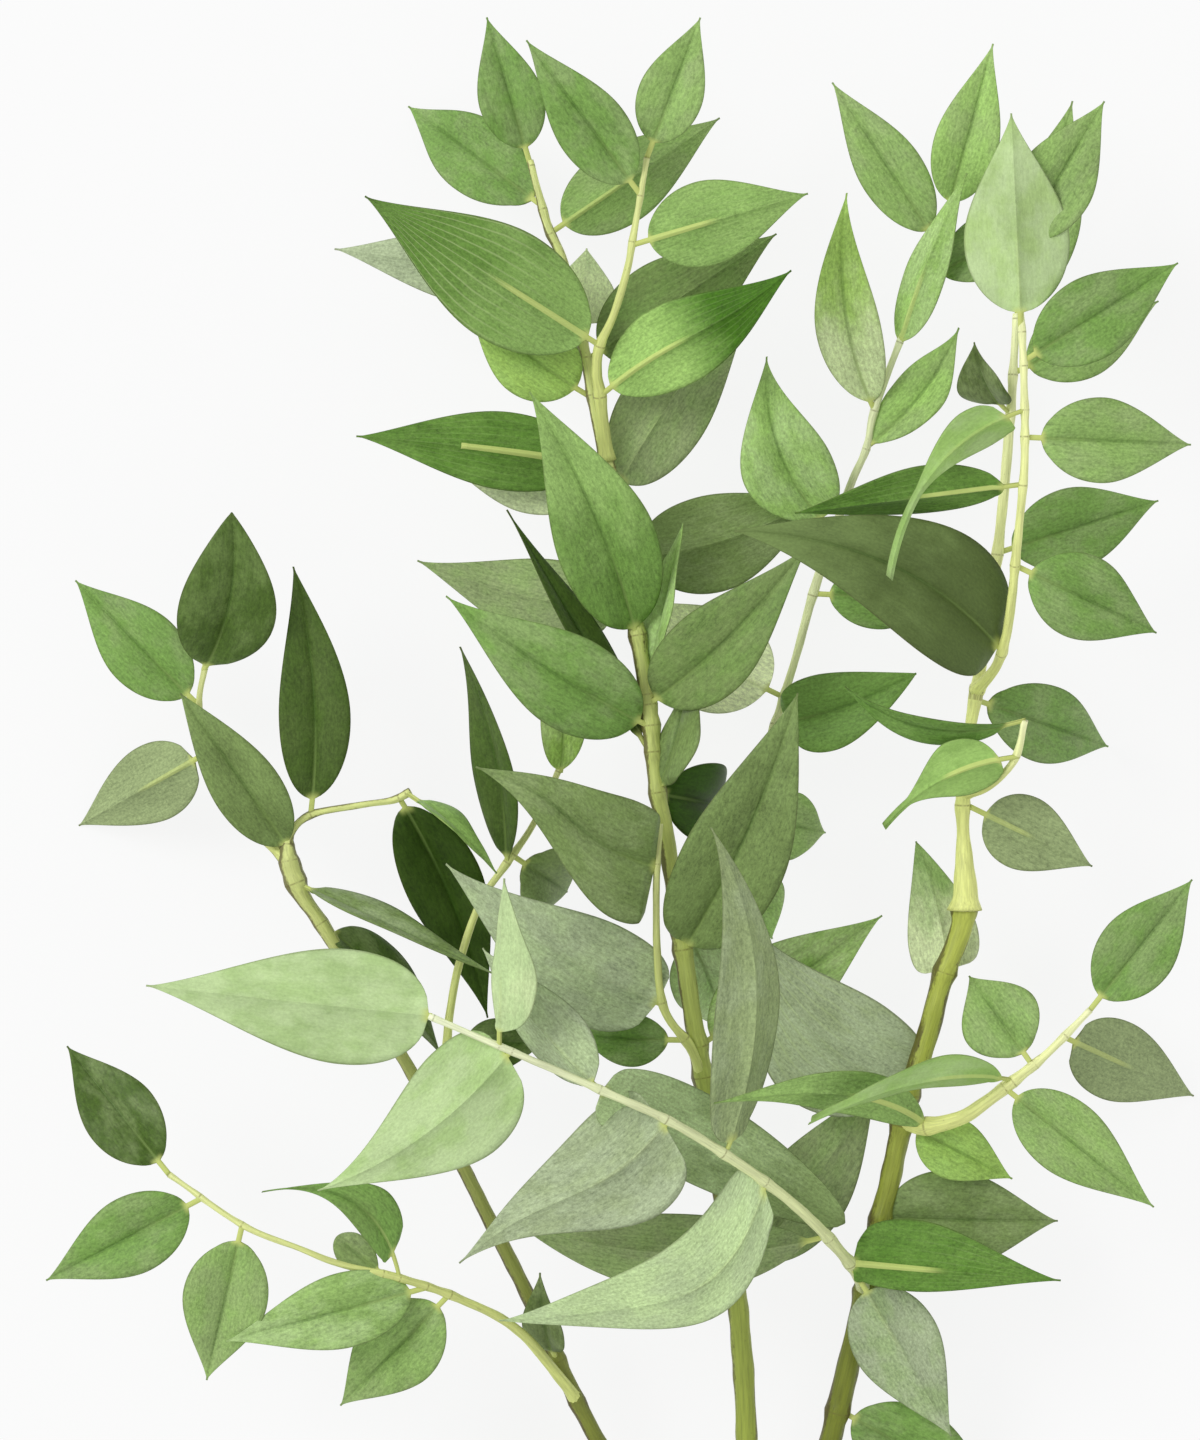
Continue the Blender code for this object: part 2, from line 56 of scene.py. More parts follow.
# The strip that leaves are bent from: its petiole below zero, its blade from 0 to 1, two skins deep
STRIP_START = -0.12
STRIP_ROWS = 56
STRIP_COLUMNS = 20
COLUMN_CROWDING = 1.5
ROW_CROWDING = 0.06
LOWER_SKIN = -0.5
RIB_LEVEL = -0.6
RIB_REACH = 0.56
RIB_RISE = 0.9
RIB_SHARE = (2 * 2 / STRIP_COLUMNS) ** COLUMN_CROWDING
RIB_CREST = 0.62
RIB_END_ROWS = 1.5
RIB_END_SCALE = (1, 1.45, 1.25)
SAME_PLACE = 0.001

# Sizes of a leaf in millimetres, and shares of its blade's length or of half its width
PETIOLE_WIDTH = 1.7
PETIOLE_THICKNESS = 1.35
PETIOLE_ROUNDING = 0.9
CREST_GAIN = 0.14
TIP_WIDTH = 0.6
BLADE_THICKNESS = 0.5
RIB_HALF_WIDTH = 1.2
RIB_LEAST_WIDTH = 0.6
RIB_LEAST_RISE = 0.2
RIB_NARROWING = 0.5
RIB_MOST_SHARE = 0.5
FOLD_ANGLE = radians(11)
EDGE_THINNING = 0.5
ROUND_BASE = 0.05
CHEEK_RISE = 0.05
GUTTER_DEPTH = 0.09
GUTTER_WIDTH = 0.14
LIFT_OFF_TABLE = 0.35
SKIN_GAP_ON_TABLE = 0.2

# Twist, ripple and place of the pattern, which differ by chance from leaf to leaf
MOST_TWIST = radians(7)
TWIST_CENTRE = 0.35
RIPPLE_HEIGHT = 0.5
RIPPLE_COUNTS = (1.2, 2.4)
RIPPLE_STRENGTHS = (0.6, 1.3)
RIPPLE_LAG = 0.7
PATTERN_RANGE = 500

# How stems are drawn out
TUBE_STEP = 1.6
TUBE_SIDES = 5
NODE_SWELL = 0.22
NODE_LENGTH = 2.4
NODE_CATCH = 4
ROOT_FLARE = 0.35
ROOT_FLARE_LENGTH = 6.0
WELD = 0.01
LUMP_SCALE = (0.45, 0.45, 0.16)
LUMP_RISE = 0.12
BARK_OFF_TABLE = 0.05
PATTERN_SHIFT = 97
CUT_DEPTH = 0.01
# Painted shade darkens a stem towards its edges: fully on old stems, faintly on shoots and twigs,
# and by a smaller share on one side
STRONG_EDGE_SHADE = 1
FAINT_EDGE_SHADE = 0.4
LIT_SIDE = 0.75

# Where the camera stands: straight above the middle of the view
VIEW_HEIGHT = 0.432
FOCUS_LEVEL = 0.055
CAMERA_DISTANCE = 5.0
SENSOR = 36.0

# Table and light
FLOOR_SIZE = 6
FLOOR_DROP = 0.0002
FLOOR_GREY = 0.1
FLOOR_GLOW = 0.85
ROOM_LIGHT = 0.8
KEY_DIRECTION = (-0.9, 0.5, 1.1)
KEY_LIGHT = 1.45
KEY_SPREAD = radians(30)


def srgb(red, green, blue):
    """A colour in the linear values that shaders take, from 0 to 255 levels."""
    levels = (level / 255 for level in (red, green, blue))
    return [v / 12.92 if v <= 0.04045 else ((v + 0.055) / 1.055) ** 2.4 for v in levels]


TONES = {
    "lime": srgb(150, 184, 92),
    "grass": srgb(98, 134, 58),
    "meadow": srgb(114, 150, 74),
    "fern": srgb(136, 168, 94),
    "pear": srgb(150, 186, 102),
    "pale": srgb(178, 200, 146),
    "cream": srgb(200, 214, 164),
    "ivory": srgb(228, 238, 192),
    "moss": srgb(66, 108, 26),
    "sage": srgb(144, 160, 112),
    "ash": srgb(164, 178, 142),
    "olive": srgb(116, 138, 80),
    "bronze": srgb(86, 104, 54),
    "deep": srgb(70, 94, 36),
    "night": srgb(48, 72, 16),
}

# Tints that lie over a leaf's tones or over bark; the groove tint is painted shade
GROOVE_SHADE_TINT = srgb(58, 92, 28)
LEAF_BASE_TINT = srgb(178, 200, 120)
VEIN_TINT = srgb(186, 206, 144)
RIB_TINT = srgb(202, 214, 128)
PETIOLE_TINT = srgb(190, 200, 116)
RIM_TINT = srgb(80, 84, 48)
# Old bark is brown in ragged patches; the same tint is laid as painted shade along a stem's edges
OLD_BARK_AND_SHADE_TINT = srgb(70, 58, 20)
SCAR_TINT = srgb(96, 84, 34)
CUT_TINT = srgb(206, 196, 150)

# Veins on each half of a leaf, and how deep the relief of leaves and bark is
VEIN_COUNT = 5.2
LEAF_RELIEF = 0.2
BARK_RELIEF = 0.25

# Noise as lumps in a millimetre along, across and by leaf, then its detail and its roughness
STREAKS = (0.2, 1.5, 1), 3, 0.6
SPECKLE = (0.9, 1.3, 1), 3, 0.7
LEAF_CLOUDS = (0.05, 0.09, 1), 2, 0.5
LEAF_PATCHES = (0.07, 0.11, 1.3), 3, 0.6

# The same for bark, beside, above and along the middle of the stem
BARK_FIBRES = (1.6, 1.6, 0.09), 3, 0.6
BARK_FLECKS = (1.3, 1.3, 0.7), 3, 0.6
BARK_CLOUDS = (0.25, 0.25, 0.05), 2, 0.5

# Where a leaf's second tone gathers: in clouds, towards its tip or its base, a multiple more so
CLOUDS = 0
TIPWARD = 1
BASEWARD = -1

Leaf = namedtuple("Leaf", "tone root tip width roll arch bow face petiole widest fullness taper "
                          "lean swerve skew end veins rib wash gathers grain")


def leaf(tone, root, tip, width, roll=0, arch=3, bow=0, face=UPPER, petiole=5, widest=0.36,
         fullness=0.8, taper=1.2, lean=0, swerve=0, skew=0, end=TIP_WIDTH, veins=0.12, rib=0.6,
         wash="sage", gathers=CLOUDS, grain=1):
    """A leaf from its root to its tip, in a tone washed over with a second one.

    Fullness and taper shape the outline below and above the widest place: a low fullness makes a
    square base, a high taper a drawn-out tip. Lean widens the half on the right of the leaf's run.
    Skew pushes that half towards the tip and the other half back. Swerve bends the blade like an
    S, end is how wide its tip stays. Veins and grain say how much those show in colour, rib also
    how high it stands: above 1 it ends bluntly instead of fading out.
    """
    return Leaf(TONES[tone], Vector(root), Vector(tip), width, radians(roll), arch, bow, face,
                petiole, widest, fullness, taper, lean, swerve, skew, end, veins, rib, TONES[wash],
                gathers, grain)


# Stems and twigs as (x, y, z, radius), each from its lower end to its tip
MAIN_STEM = [
    (48, -444, 3.8, 3.8), (47, -370, 5, 3.7), (46, -300, 10, 3.8),
    (45, -234, 24, 3.3), (41, -171, 38, 3.1), (32, -114, 48, 3.0), (28, -90, 52, 2.8),
    (25, -70, 54, 2.7), (20, -36, 57, 2.6), (17, -20, 58, 2.5), (15, 0, 58, 2.5),
    (12, 21, 58, 2.4), (7, 48, 58, 2.3), (3, 72, 58, 2.2), (-1, 90, 58, 1.7),
    (-5, 112, 57, 1.6), (-11, 137, 55, 1.5), (-16, 149, 54, 1.3), (-21, 168, 52, 0.9),
]
LEFT_STEM = [
    (46, -300, 10, 3.2), (28, -262, 14, 3.0), (0, -219, 22, 2.5), (-22, -173, 32, 2.3),
    (-33, -151, 36, 2.2), (-42, -133, 39, 2.1), (-55, -109, 42, 2.0), (-82, -64, 44, 2.1),
    (-89, -54, 44, 2.5), (-92.5, -46, 44, 3.1), (-94, -39, 44, 2.2), (-93, -34, 44, 1.3),
    (-87, -28.5, 44, 1.1), (-72, -25.5, 45, 1.0), (-62, -24, 45, 1.0), (-57, -21.5, 46, 1.1),
]
LEFT_SPUR = [
    (-94, -42, 43.5, 1.5), (-103, -34, 41, 1.3), (-112, -24, 40, 1.1), (-119, -8, 42, 1.0),
    (-120.5, 5, 45.5, 0.9), (-118.5, 17, 47, 0.8),
]
RIGHT_STEM = [
    (46, -300, 10, 3.4), (58, -262, 16, 3.4), (70, -215, 26, 3.4), (80, -172, 36, 3.3),
    (83.5, -154, 39, 3.2), (87, -139.5, 41.5, 3.2), (90, -125, 44, 3.2), (93, -111, 46, 3.2),
    (96, -102.5, 47, 3.3), (99, -92.5, 48, 3.2), (103, -77.5, 50, 3.1), (106.5, -68, 51, 3.2),
    (109, -60, 51.5, 3.4), (109.5, -51, 52, 3.3),
]
RIGHT_SHOOT = [
    (109.5, -57, 52, 3.2), (109.5, -46, 53, 3.0), (109, -34, 53, 2.0), (109, -22, 54, 2.0),
    (111, -3, 55, 1.8), (113, 9, 55, 1.8), (119, 48, 56, 1.6), (123, 90, 55, 1.4),
    (125, 122, 52, 1.0),
]
RIGHT_SPUR = [
    (109, -22, 54, 1.6), (116, -20, 62, 1.3), (124, -12, 69, 1.1), (127, 0, 72, 0.9),
]
FRONT_TWIG = [
    (80, -172, 36, 1.9), (75, -163, 50, 1.8), (57, -144, 73, 1.6), (27, -123, 88, 1.4),
    (0, -110, 95, 1.2), (-30, -97, 99, 1.0), (-51, -88, 100, 0.9),
]
MID_LEFT_TWIG = [
    (-44, -129, 39.5, 1.3), (-46, -112, 40, 1.3), (-46, -97, 40, 1.3), (-45, -87, 39, 1.2),
    (-42, -72, 38, 1.2), (-36, -55, 37, 1.1), (-28, -43, 36, 1.1), (-21, -33, 36, 1.0),
    (-16, -23, 35, 0.9), (-12, -14, 35, 0.8),
]
TOP_TWIG = [
    (2, 78, 58, 1.8), (0, 97, 63, 1.7), (-1, 104, 66, 1.6), (0, 112, 69, 1.4),
    (4, 121, 73, 1.2), (8, 134, 76, 1.1), (10, 145, 76, 1.0), (14, 168, 74, 0.8),
]
CENTRE_TWIG = [
    (31, -108, 49, 1.6), (27, -98, 55, 1.4), (19, -86, 59, 1.2), (17, -66, 62, 1.1),
    (17, -45, 64, 1.0), (18, -31, 64, 0.9),
]
RIGHT_TWIG = [
    (22, -54, 55, 1.4), (32, -44, 48, 1.3), (44, -27, 42, 1.2), (53, 0, 40, 1.2),
    (59, 19, 40, 1.2), (65, 41, 42, 1.4), (74.5, 68.5, 44, 1.2), (80, 81.5, 45, 1.1),
    (82.5, 93, 46, 1.1), (90, 113.5, 48, 1.0), (99, 135, 48, 0.9), (104, 152, 47, 0.8),
]
UPPER_RIGHT_TWIG = [
    (113, 9, 55, 1.6), (119, 17, 69, 1.5), (122, 30, 86, 1.4), (124, 52, 100, 1.3),
    (126, 76, 105, 1.2), (126, 97, 106, 1.1), (125, 120, 106, 1.0), (123, 140, 104, 0.8),
]
LOWER_RIGHT_TWIG = [
    (91, -120, 45, 2.1), (97, -122, 52, 2.3), (109, -119, 56, 2.2), (119, -112, 58, 1.8),
    (133, -101, 58, 1.3), (147, -87, 55, 0.9),
]
LOWER_LEFT_TWIG = [
    (-7, -205, 25, 1.6), (-24, -184, 46, 1.5), (-41, -174, 58, 1.3), (-60, -167, 66, 1.1),
    (-77, -163, 69, 1.0), (-90, -158, 70, 0.9), (-107, -151, 70, 0.9), (-129, -136, 66, 0.8),
]

# Leaves of each stem and twig
MAIN_LEAVES = [
    leaf("ash", (-10, 132, 55), (-80, 142, 30), 23, face=UNDER, rib=0.2, wash="ash"),
    leaf("lime", (-3, 97, 57), (-41, 128, 62), 25, bow=-2, wash="pear"),
    leaf("grass", (2, 76, 58), (-73, 85, 62), 24, bow=1, face=UNDER, rib=1.3, wash="moss"),
    leaf("cream", (3, 70, 57), (-54, 84, 36), 28, face=UNDER, rib=0.2, wash="ash"),
    leaf("fern", (11, 25, 59), (-21, 98, 80), 31, arch=5, bow=3, petiole=3, wash="grass",
         gathers=BASEWARD),
    leaf("deep", (14.5, -9, 57), (-28, 63, 58), 14, roll=-45, arch=0, taper=1.4,
         wash="night"),
    leaf("meadow", (15, -2, 59), (-46, 37, 76), 29, arch=5, bow=-2, petiole=4, taper=1.3),
    leaf("sage", (9, 33, 57), (-55, 48, 32), 26, arch=-6, bow=-3, face=UNDER, rib=0.1,
         wash="fern"),
    leaf("olive", (7, 48, 57), (69, 69, 40), 30, bow=4, face=UNDER, rib=0.1),
    leaf("pear", (14, 8, 57), (25, 59, 64), 19, roll=62, arch=0, wash="pale"),
    leaf("olive", (15, 5, 59), (62, 52, 88), 27, roll=5, arch=5, bow=3, petiole=3, wash="grass"),
    leaf("olive", (25, -69, 55), (59, 8, 84), 32, arch=4, bow=3, petiole=2, fullness=0.6,
         taper=1.05, wash="bronze"),
    leaf("night", (17, -22, 57), (33, -25, 14), 25, arch=8, petiole=2, fullness=0.6, taper=0.8,
         wash="moss"),
    leaf("olive", (18, -21, 59), (27, 13, 52), 23, roll=52, bow=5, petiole=1, fullness=0.5,
         lean=0.5, wash="bronze"),
    leaf("pale", (25, -62, 54), (36, -93, 14), 24, bow=-2, wash="pear"),
    leaf("sage", (4, 67, 57), (47, 126, 42), 28, bow=-3, face=UNDER, rib=0.1, wash="fern"),
    leaf("olive", (-4, 108, 57), (53, 146, 50), 29, face=UNDER, rib=0.1, wash="meadow"),
    leaf("cream", (-6, 114, 56), (-4, 142, 34), 20, face=UNDER, rib=0.3, wash="pale"),
    leaf("fern", (-15, 146, 54), (36, 181, 44), 24, face=UNDER),
    leaf("pear", (30, -98, 50), (85, -59, 30), 28, arch=-6, wash="cream"),
    leaf("meadow", (-21, 167, 52), (-34, 211, 50), 20, arch=2),
    leaf("meadow", (-17, 154, 53), (-58, 186, TABLE), 24),
    leaf("fern", (46.5, -345, 7), (-2, -372, 6), 27),
    leaf("sage", (46, -322, 8), (98, -342, 6), 27, face=UNDER),
    leaf("sage", (42.5, -166, 38), (84, -108, 30), 27, bow=2, face=UNDER, rib=0.1, wash="fern"),
]
LEFT_LEAVES = [
    leaf("deep", (-119, 15, 47), (-110, 62, 74), 30, arch=2, bow=4, petiole=2, widest=0.42,
         taper=0.85, wash="olive"),
    leaf("meadow", (-120.3, 4, 45), (-158, 42, 34), 24),
    leaf("sage", (-118.5, -10, 41.5), (-158, -32, TABLE), 24, face=UNDER),
    leaf("deep", (-87, -28.5, 44), (-92, 46, 56), 22, bow=3.5, taper=1.1, wash="bronze"),
    leaf("olive", (-94, -38, 45), (-126, 8, 50), 21, petiole=1, taper=1, wash="bronze"),
    leaf("night", (-60, -24, 45), (-34, -90, 14), 24, arch=-3, bow=-3, petiole=3, wash="deep"),
    leaf("pear", (-58, -22, 46), (-31, -46, 56), 17, roll=72, bow=5, wash="grass"),
    leaf("olive", (-91, -49, 44), (-32, -76, 62), 17, roll=66, arch=2, bow=5, wash="ash"),
    leaf("deep", (-84, -61, 44), (-48, -101, 24), 22, roll=50),
    leaf("bronze", (-13, -193, 28), (-18, -166, 52), 14, roll=30),
    leaf("meadow", (2, -222, 21), (-52, -246, 8), 27),
]
RIGHT_LEAVES = [
    leaf("cream", (104.5, -76, 48.5), (95, -36.5, 43), 22, arch=-2, bow=1.5, face=UNDER, petiole=1,
         widest=0.24, fullness=0.45, taper=0.9, wash="meadow", rib=0.1, gathers=TIPWARD),
    leaf("ash", (93, -112, 46), (43, -58, 52), 41, bow=-9, face=UNDER, petiole=1, widest=0.3,
         fullness=0.65, veins=0.5, rib=0.1, wash="sage"),
    leaf("olive", (84, -150, 40), (138, -151, 30), 31, petiole=2, fullness=0.6, wash="sage"),
    leaf("lime", (91, -121, 44), (124, -138, 42), 19, wash="pear"),
    leaf("meadow", (127, 0, 72), (73, 10, 84), 12, roll=50, bow=-8, taper=1, wash="moss"),
    leaf("pear", (125, -11, 70), (85, -32, 66), 19, roll=20, bow=6, face=UNDER, widest=0.28,
         taper=2.6, end=2.4, rib=1, wash="grass", grain=0.5),
    leaf("sage", (111, -26, 54), (148, -44, 44), 23, face=UNDER),
    leaf("meadow", (113, 6, 55), (154, -8, TABLE), 24),
    leaf("meadow", (119, 50, 56), (168, 66, 38), 25),
    leaf("bronze", (123, 92, 55), (112, 113, 68), 20, roll=50),
    leaf("fern", (124, 104, 54), (168, 126, 40), 24),
    leaf("fern", (125, 121, 52), (142, 186, 46), 24),
    leaf("meadow", (72, -208, 28), (122, -236, 12), 27),
]
FRONT_LEAVES = [
    leaf("pale", (-50, -88, 100), (-135, -79, 98), 35, arch=5, face=UNDER, petiole=1, widest=0.3,
         rib=0, wash="fern", grain=0.4),
    leaf("pale", (-27, -99, 98), (-84, -140, 98), 35, bow=-5, face=UNDER, petiole=1, widest=0.26,
         fullness=0.65, taper=1.3, rib=0, wash="pear", grain=0.5),
    leaf("pale", (-30, -97, 99), (-28.5, -47, 112), 21, roll=55, bow=4, face=UNDER, rib=0.2,
         lean=0.3, wash="cream", grain=0.6),
    leaf("ash", (0, -110, 95), (-35, -68, 88), 25, roll=42, face=UNDER, petiole=3, rib=0.2,
         wash="pale"),
    leaf("ash", (20, -120, 90), (-42, -162, 84), 37, bow=-1.7, face=UNDER, petiole=1, widest=0.2,
         fullness=0.55, taper=1.3, swerve=-2.2, rib=0.2),
    leaf("sage", (67, -155, 60), (-25, -151, 50), 24, arch=-4, bow=-7, face=UNDER, widest=0.45,
         taper=0.9, rib=0.1, wash="fern"),
    leaf("pale", (49.5, -138.5, 78), (-30, -179, 88), 27, bow=-17, face=UNDER, petiole=1,
         widest=0.26, fullness=0.5, taper=1.05, lean=0.2, swerve=-3.5, rib=0.2, wash="ash"),
    leaf("ash", (75, -163, 50), (106, -216, 28), 27, face=UNDER, petiole=10, rib=0.2, wash="fern"),
    leaf("pale", (0, -110, 94), (73.5, -151, 52), 27, arch=-6, bow=-1, face=UNDER, petiole=1,
         widest=0.4, fullness=0.4, taper=0.5, rib=0.1, wash="olive", gathers=TIPWARD),
    leaf("sage", (38, -128, 84), (33, -32, 110), 27, roll=-42, bow=12, face=UNDER, petiole=2,
         fullness=0.6, rib=0.1, wash="ash"),
    leaf("grass", (75, -163, 50), (138, -168, 62), 22, face=UNDER, petiole=1, widest=0.28,
         fullness=0.5, lean=-0.35, rib=1, wash="moss"),
]
MID_LEFT_LEAVES = [
    leaf("deep", (-28, -43, 36), (-42, 22, 48), 17, roll=45, bow=8, petiole=2, widest=0.4,
         wash="bronze"),
    leaf("olive", (-26, -41, 36), (-10, -52, 6), 24),
    leaf("lime", (-12, -16, 35), (-17, 24, 36), 14, bow=3, petiole=1, wash="cream"),
    leaf("deep", (-46, -98, 40), (-16, -97, 34), 16),
]
TOP_LEAVES = [
    leaf("grass", (0, 112, 69), (-70, 156, 90), 35, arch=5, face=UNDER, veins=0.6, rib=0.9,
         wash="fern", gathers=BASEWARD),
    leaf("pear", (0, 97, 63), (57, 134, 86), 26, arch=4, face=UNDER, swerve=-1, rib=0.9,
         wash="moss", gathers=1.6 * TIPWARD),
    leaf("fern", (10, 142, 76), (62, 157, 84), 26, arch=4, face=UNDER, rib=0.9, wash="meadow"),
    leaf("fern", (14, 168, 74), (30, 210, 72), 20),
    leaf("meadow", (12, 157, 75), (-22, 203, 78), 22),
]
CENTRE_LEAVES = [
    leaf("olive", (17, -44, 64), (-37, -14, 86), 35, arch=4, bow=0, petiole=1,
         widest=0.18, fullness=0.42, taper=1.15, lean=-0.05, swerve=-2, skew=0.36),
    leaf("ash", (18, -85, 59), (-46, -43, 76), 33, arch=4, bow=-4, face=UNDER, petiole=1,
         widest=0.27, fullness=0.55, rib=0.1, wash="pale"),
    leaf("grass", (25.5, -96, 56), (-8, -94, 42), 17, roll=10),
]
RIGHT_TWIG_LEAVES = [
    leaf("lime", (82.5, 93, 46), (74, 158, 58), 20, bow=-5, petiole=3, rib=0.8, wash="cream",
         gathers=BASEWARD),
    leaf("pear", (90, 113, 48), (110, 164, 56), 14, roll=25, face=UNDER, petiole=1, wash="pale"),
    leaf("pear", (80, 82, 45), (108, 118, 40), 17, roll=20, arch=1, bow=4, petiole=2, widest=0.45,
         taper=1.4),
    leaf("pear", (70, 57, 43.5), (50, 109, 56), 28, bow=-6.5, taper=1.3, rib=0.8, wash="pale"),
    leaf("ivory", (55, 7, 40), (9, 37, 32), 32, bow=-2, face=UNDER, wash="cream", rib=0.3),
    leaf("meadow", (53, -1, 40), (95, 14, 50), 24, bow=2, petiole=3, widest=0.3, fullness=0.55,
         taper=0.9, wash="grass"),
    leaf("meadow", (64, 38, 42), (106, 36, 28), 20),
    leaf("fern", (43, -29, 42.5), (68, -34, 24), 21),
    leaf("pear", (35, -40, 47), (52, -66, 20), 24, wash="pale"),
    leaf("pear", (104, 151, 47), (118, 203, 52), 20),
    leaf("fern", (101.5, 143, 48), (70, 192, 34), 20),
    leaf("meadow", (98, 132, 48), (148, 160, 42), 20),
]
UPPER_RIGHT_LEAVES = [
    leaf("bronze", (120.5, 20, 74), (40, 56, 114), 38, arch=5, bow=10, petiole=3, widest=0.27,
         taper=1, wash="olive", gathers=TIPWARD, grain=0.5),
    leaf("grass", (125, 70, 104), (58, 61.5, 96), 20, roll=45, bow=3, face=UNDER, rib=0.9,
         wash="moss"),
    leaf("pear", (126, 92, 106), (86, 42, 112), 16, roll=30, bow=13, face=UNDER, widest=0.14,
         taper=2.6, end=3, rib=0.3, wash="pale", grain=0.4),
    leaf("pale", (125, 116, 106), (122, 180, 110), 32, face=UNDER, rib=0.2, wash="lime",
         grain=0.4),
    leaf("meadow", (125, 106, 106), (172, 136, 94), 25),
    leaf("fern", (126, 84, 105), (176, 82, 90), 26),
    leaf("meadow", (123.5, 46, 96), (166, 26, 82), 26),
    leaf("fern", (123, 139, 104), (150, 184, 98), 24),
]
LOWER_RIGHT_LEAVES = [
    leaf("fern", (98, -121.5, 52), (34, -114, 98), 16, roll=30, arch=4, bow=10, face=UNDER,
         petiole=2, rib=1, wash="pear"),
    leaf("pear", (124, -108, 58), (63, -120, 86), 17, roll=58, arch=0, bow=10, face=UNDER,
         end=5, wash="pale", grain=0.4),
    leaf("fern", (130, -104, 58), (111, -77, 44), 25),
    leaf("meadow", (147, -87, 55), (178, -48, 44), 24),
    leaf("sage", (139, -95, 57), (180, -114, TABLE), 25, face=UNDER),
    leaf("fern", (121, -110, 58), (166, -146, 60), 23),
]
LOWER_LEFT_LEAVES = [
    leaf("meadow", (-60, -167, 66), (-101, -141, 76), 15.5, bow=12, petiole=6, widest=0.25,
         fullness=0.6, taper=2, lean=0.2, rib=1.6, wash="olive"),
    leaf("olive", (-65, -166, 67), (-79, -155, 58), 11, petiole=2, widest=0.45, fullness=0.6,
         taper=0.6),
    leaf("fern", (-107, -151, 70), (-118, -198, 54), 26),
    leaf("fern", (-52, -170, 63), (-112, -186, 66), 23, rib=1, wash="pale"),
    leaf("fern", (-45, -172, 60), (-78, -206, 46), 26),
    leaf("deep", (-129, -136, 66), (-160, -98, 50), 23),
    leaf("meadow", (-119, -143, 68), (-166, -168, 58), 24),
]

# Bark tones of a stem or twig, at its lower and at its upper end
STRAW = srgb(196, 204, 120), srgb(210, 216, 146)
MAIN_BARK = srgb(132, 148, 30), srgb(212, 220, 142)
LEFT_BARK = srgb(100, 108, 6), srgb(212, 220, 140)
RIGHT_BARK = srgb(98, 108, 8), srgb(176, 186, 80)
SHOOT_BARK = srgb(216, 222, 134), srgb(236, 240, 186)
PALE_BARK = srgb(204, 212, 152), srgb(232, 238, 200)

Branch = namedtuple("Branch", "name routes leaves barks")
BRANCHES = [
    Branch("main_stem", [MAIN_STEM], MAIN_LEAVES, [MAIN_BARK]),
    Branch("left_stem", [LEFT_STEM, LEFT_SPUR], LEFT_LEAVES, [LEFT_BARK, STRAW]),
    Branch("right_stem", [RIGHT_STEM, RIGHT_SHOOT, RIGHT_SPUR], RIGHT_LEAVES,
           [RIGHT_BARK, SHOOT_BARK, SHOOT_BARK]),
    Branch("top_twig", [TOP_TWIG], TOP_LEAVES, [STRAW]),
    Branch("centre_twig", [CENTRE_TWIG], CENTRE_LEAVES, [STRAW]),
    Branch("right_twig", [RIGHT_TWIG], RIGHT_TWIG_LEAVES, [PALE_BARK]),
    Branch("front_twig", [FRONT_TWIG], FRONT_LEAVES, [PALE_BARK]),
    Branch("upper_right_twig", [UPPER_RIGHT_TWIG], UPPER_RIGHT_LEAVES, [SHOOT_BARK]),
    Branch("lower_right_twig", [LOWER_RIGHT_TWIG], LOWER_RIGHT_LEAVES, [SHOOT_BARK]),
    Branch("mid_left_twig", [MID_LEFT_TWIG], MID_LEFT_LEAVES, [STRAW]),
    Branch("lower_left_twig", [LOWER_LEFT_TWIG], LOWER_LEFT_LEAVES, [STRAW]),
]


class Signal:
    """An output socket that takes part in sums: each operator adds a Math node to its tree."""

    def __init__(self, finish, socket):
        self.finish = finish
        self.socket = socket

    def math(self, operation, *values):
        """The result of a Math node on values or signals."""
        return self.finish.node("ShaderNodeMath", {"operation": operation}, dict(enumerate(values)))

    def __add__(self, other):
        return self.math("ADD", self, other)

    def __sub__(self, other):
        return self.math("SUBTRACT", self, other)

    def __rsub__(self, other):
        return self.math("SUBTRACT", other, self)

    def __mul__(self, other):
        return self.math("MULTIPLY", self, other)

    def __abs__(self):
        return self.math("ABSOLUTE", self)

    __radd__ = __add__
    __rmul__ = __mul__

    def fraction(self):
        return self.math("FRACT", self)

    def rising(self, low, high):
        """0 at low, 1 at high and smooth between them. It falls where high is the lower one."""
        settings = {"interpolation_type": "SMOOTHSTEP"}
        return self.finish.node("ShaderNodeMapRange", settings, {0: self, 1: low, 2: high})


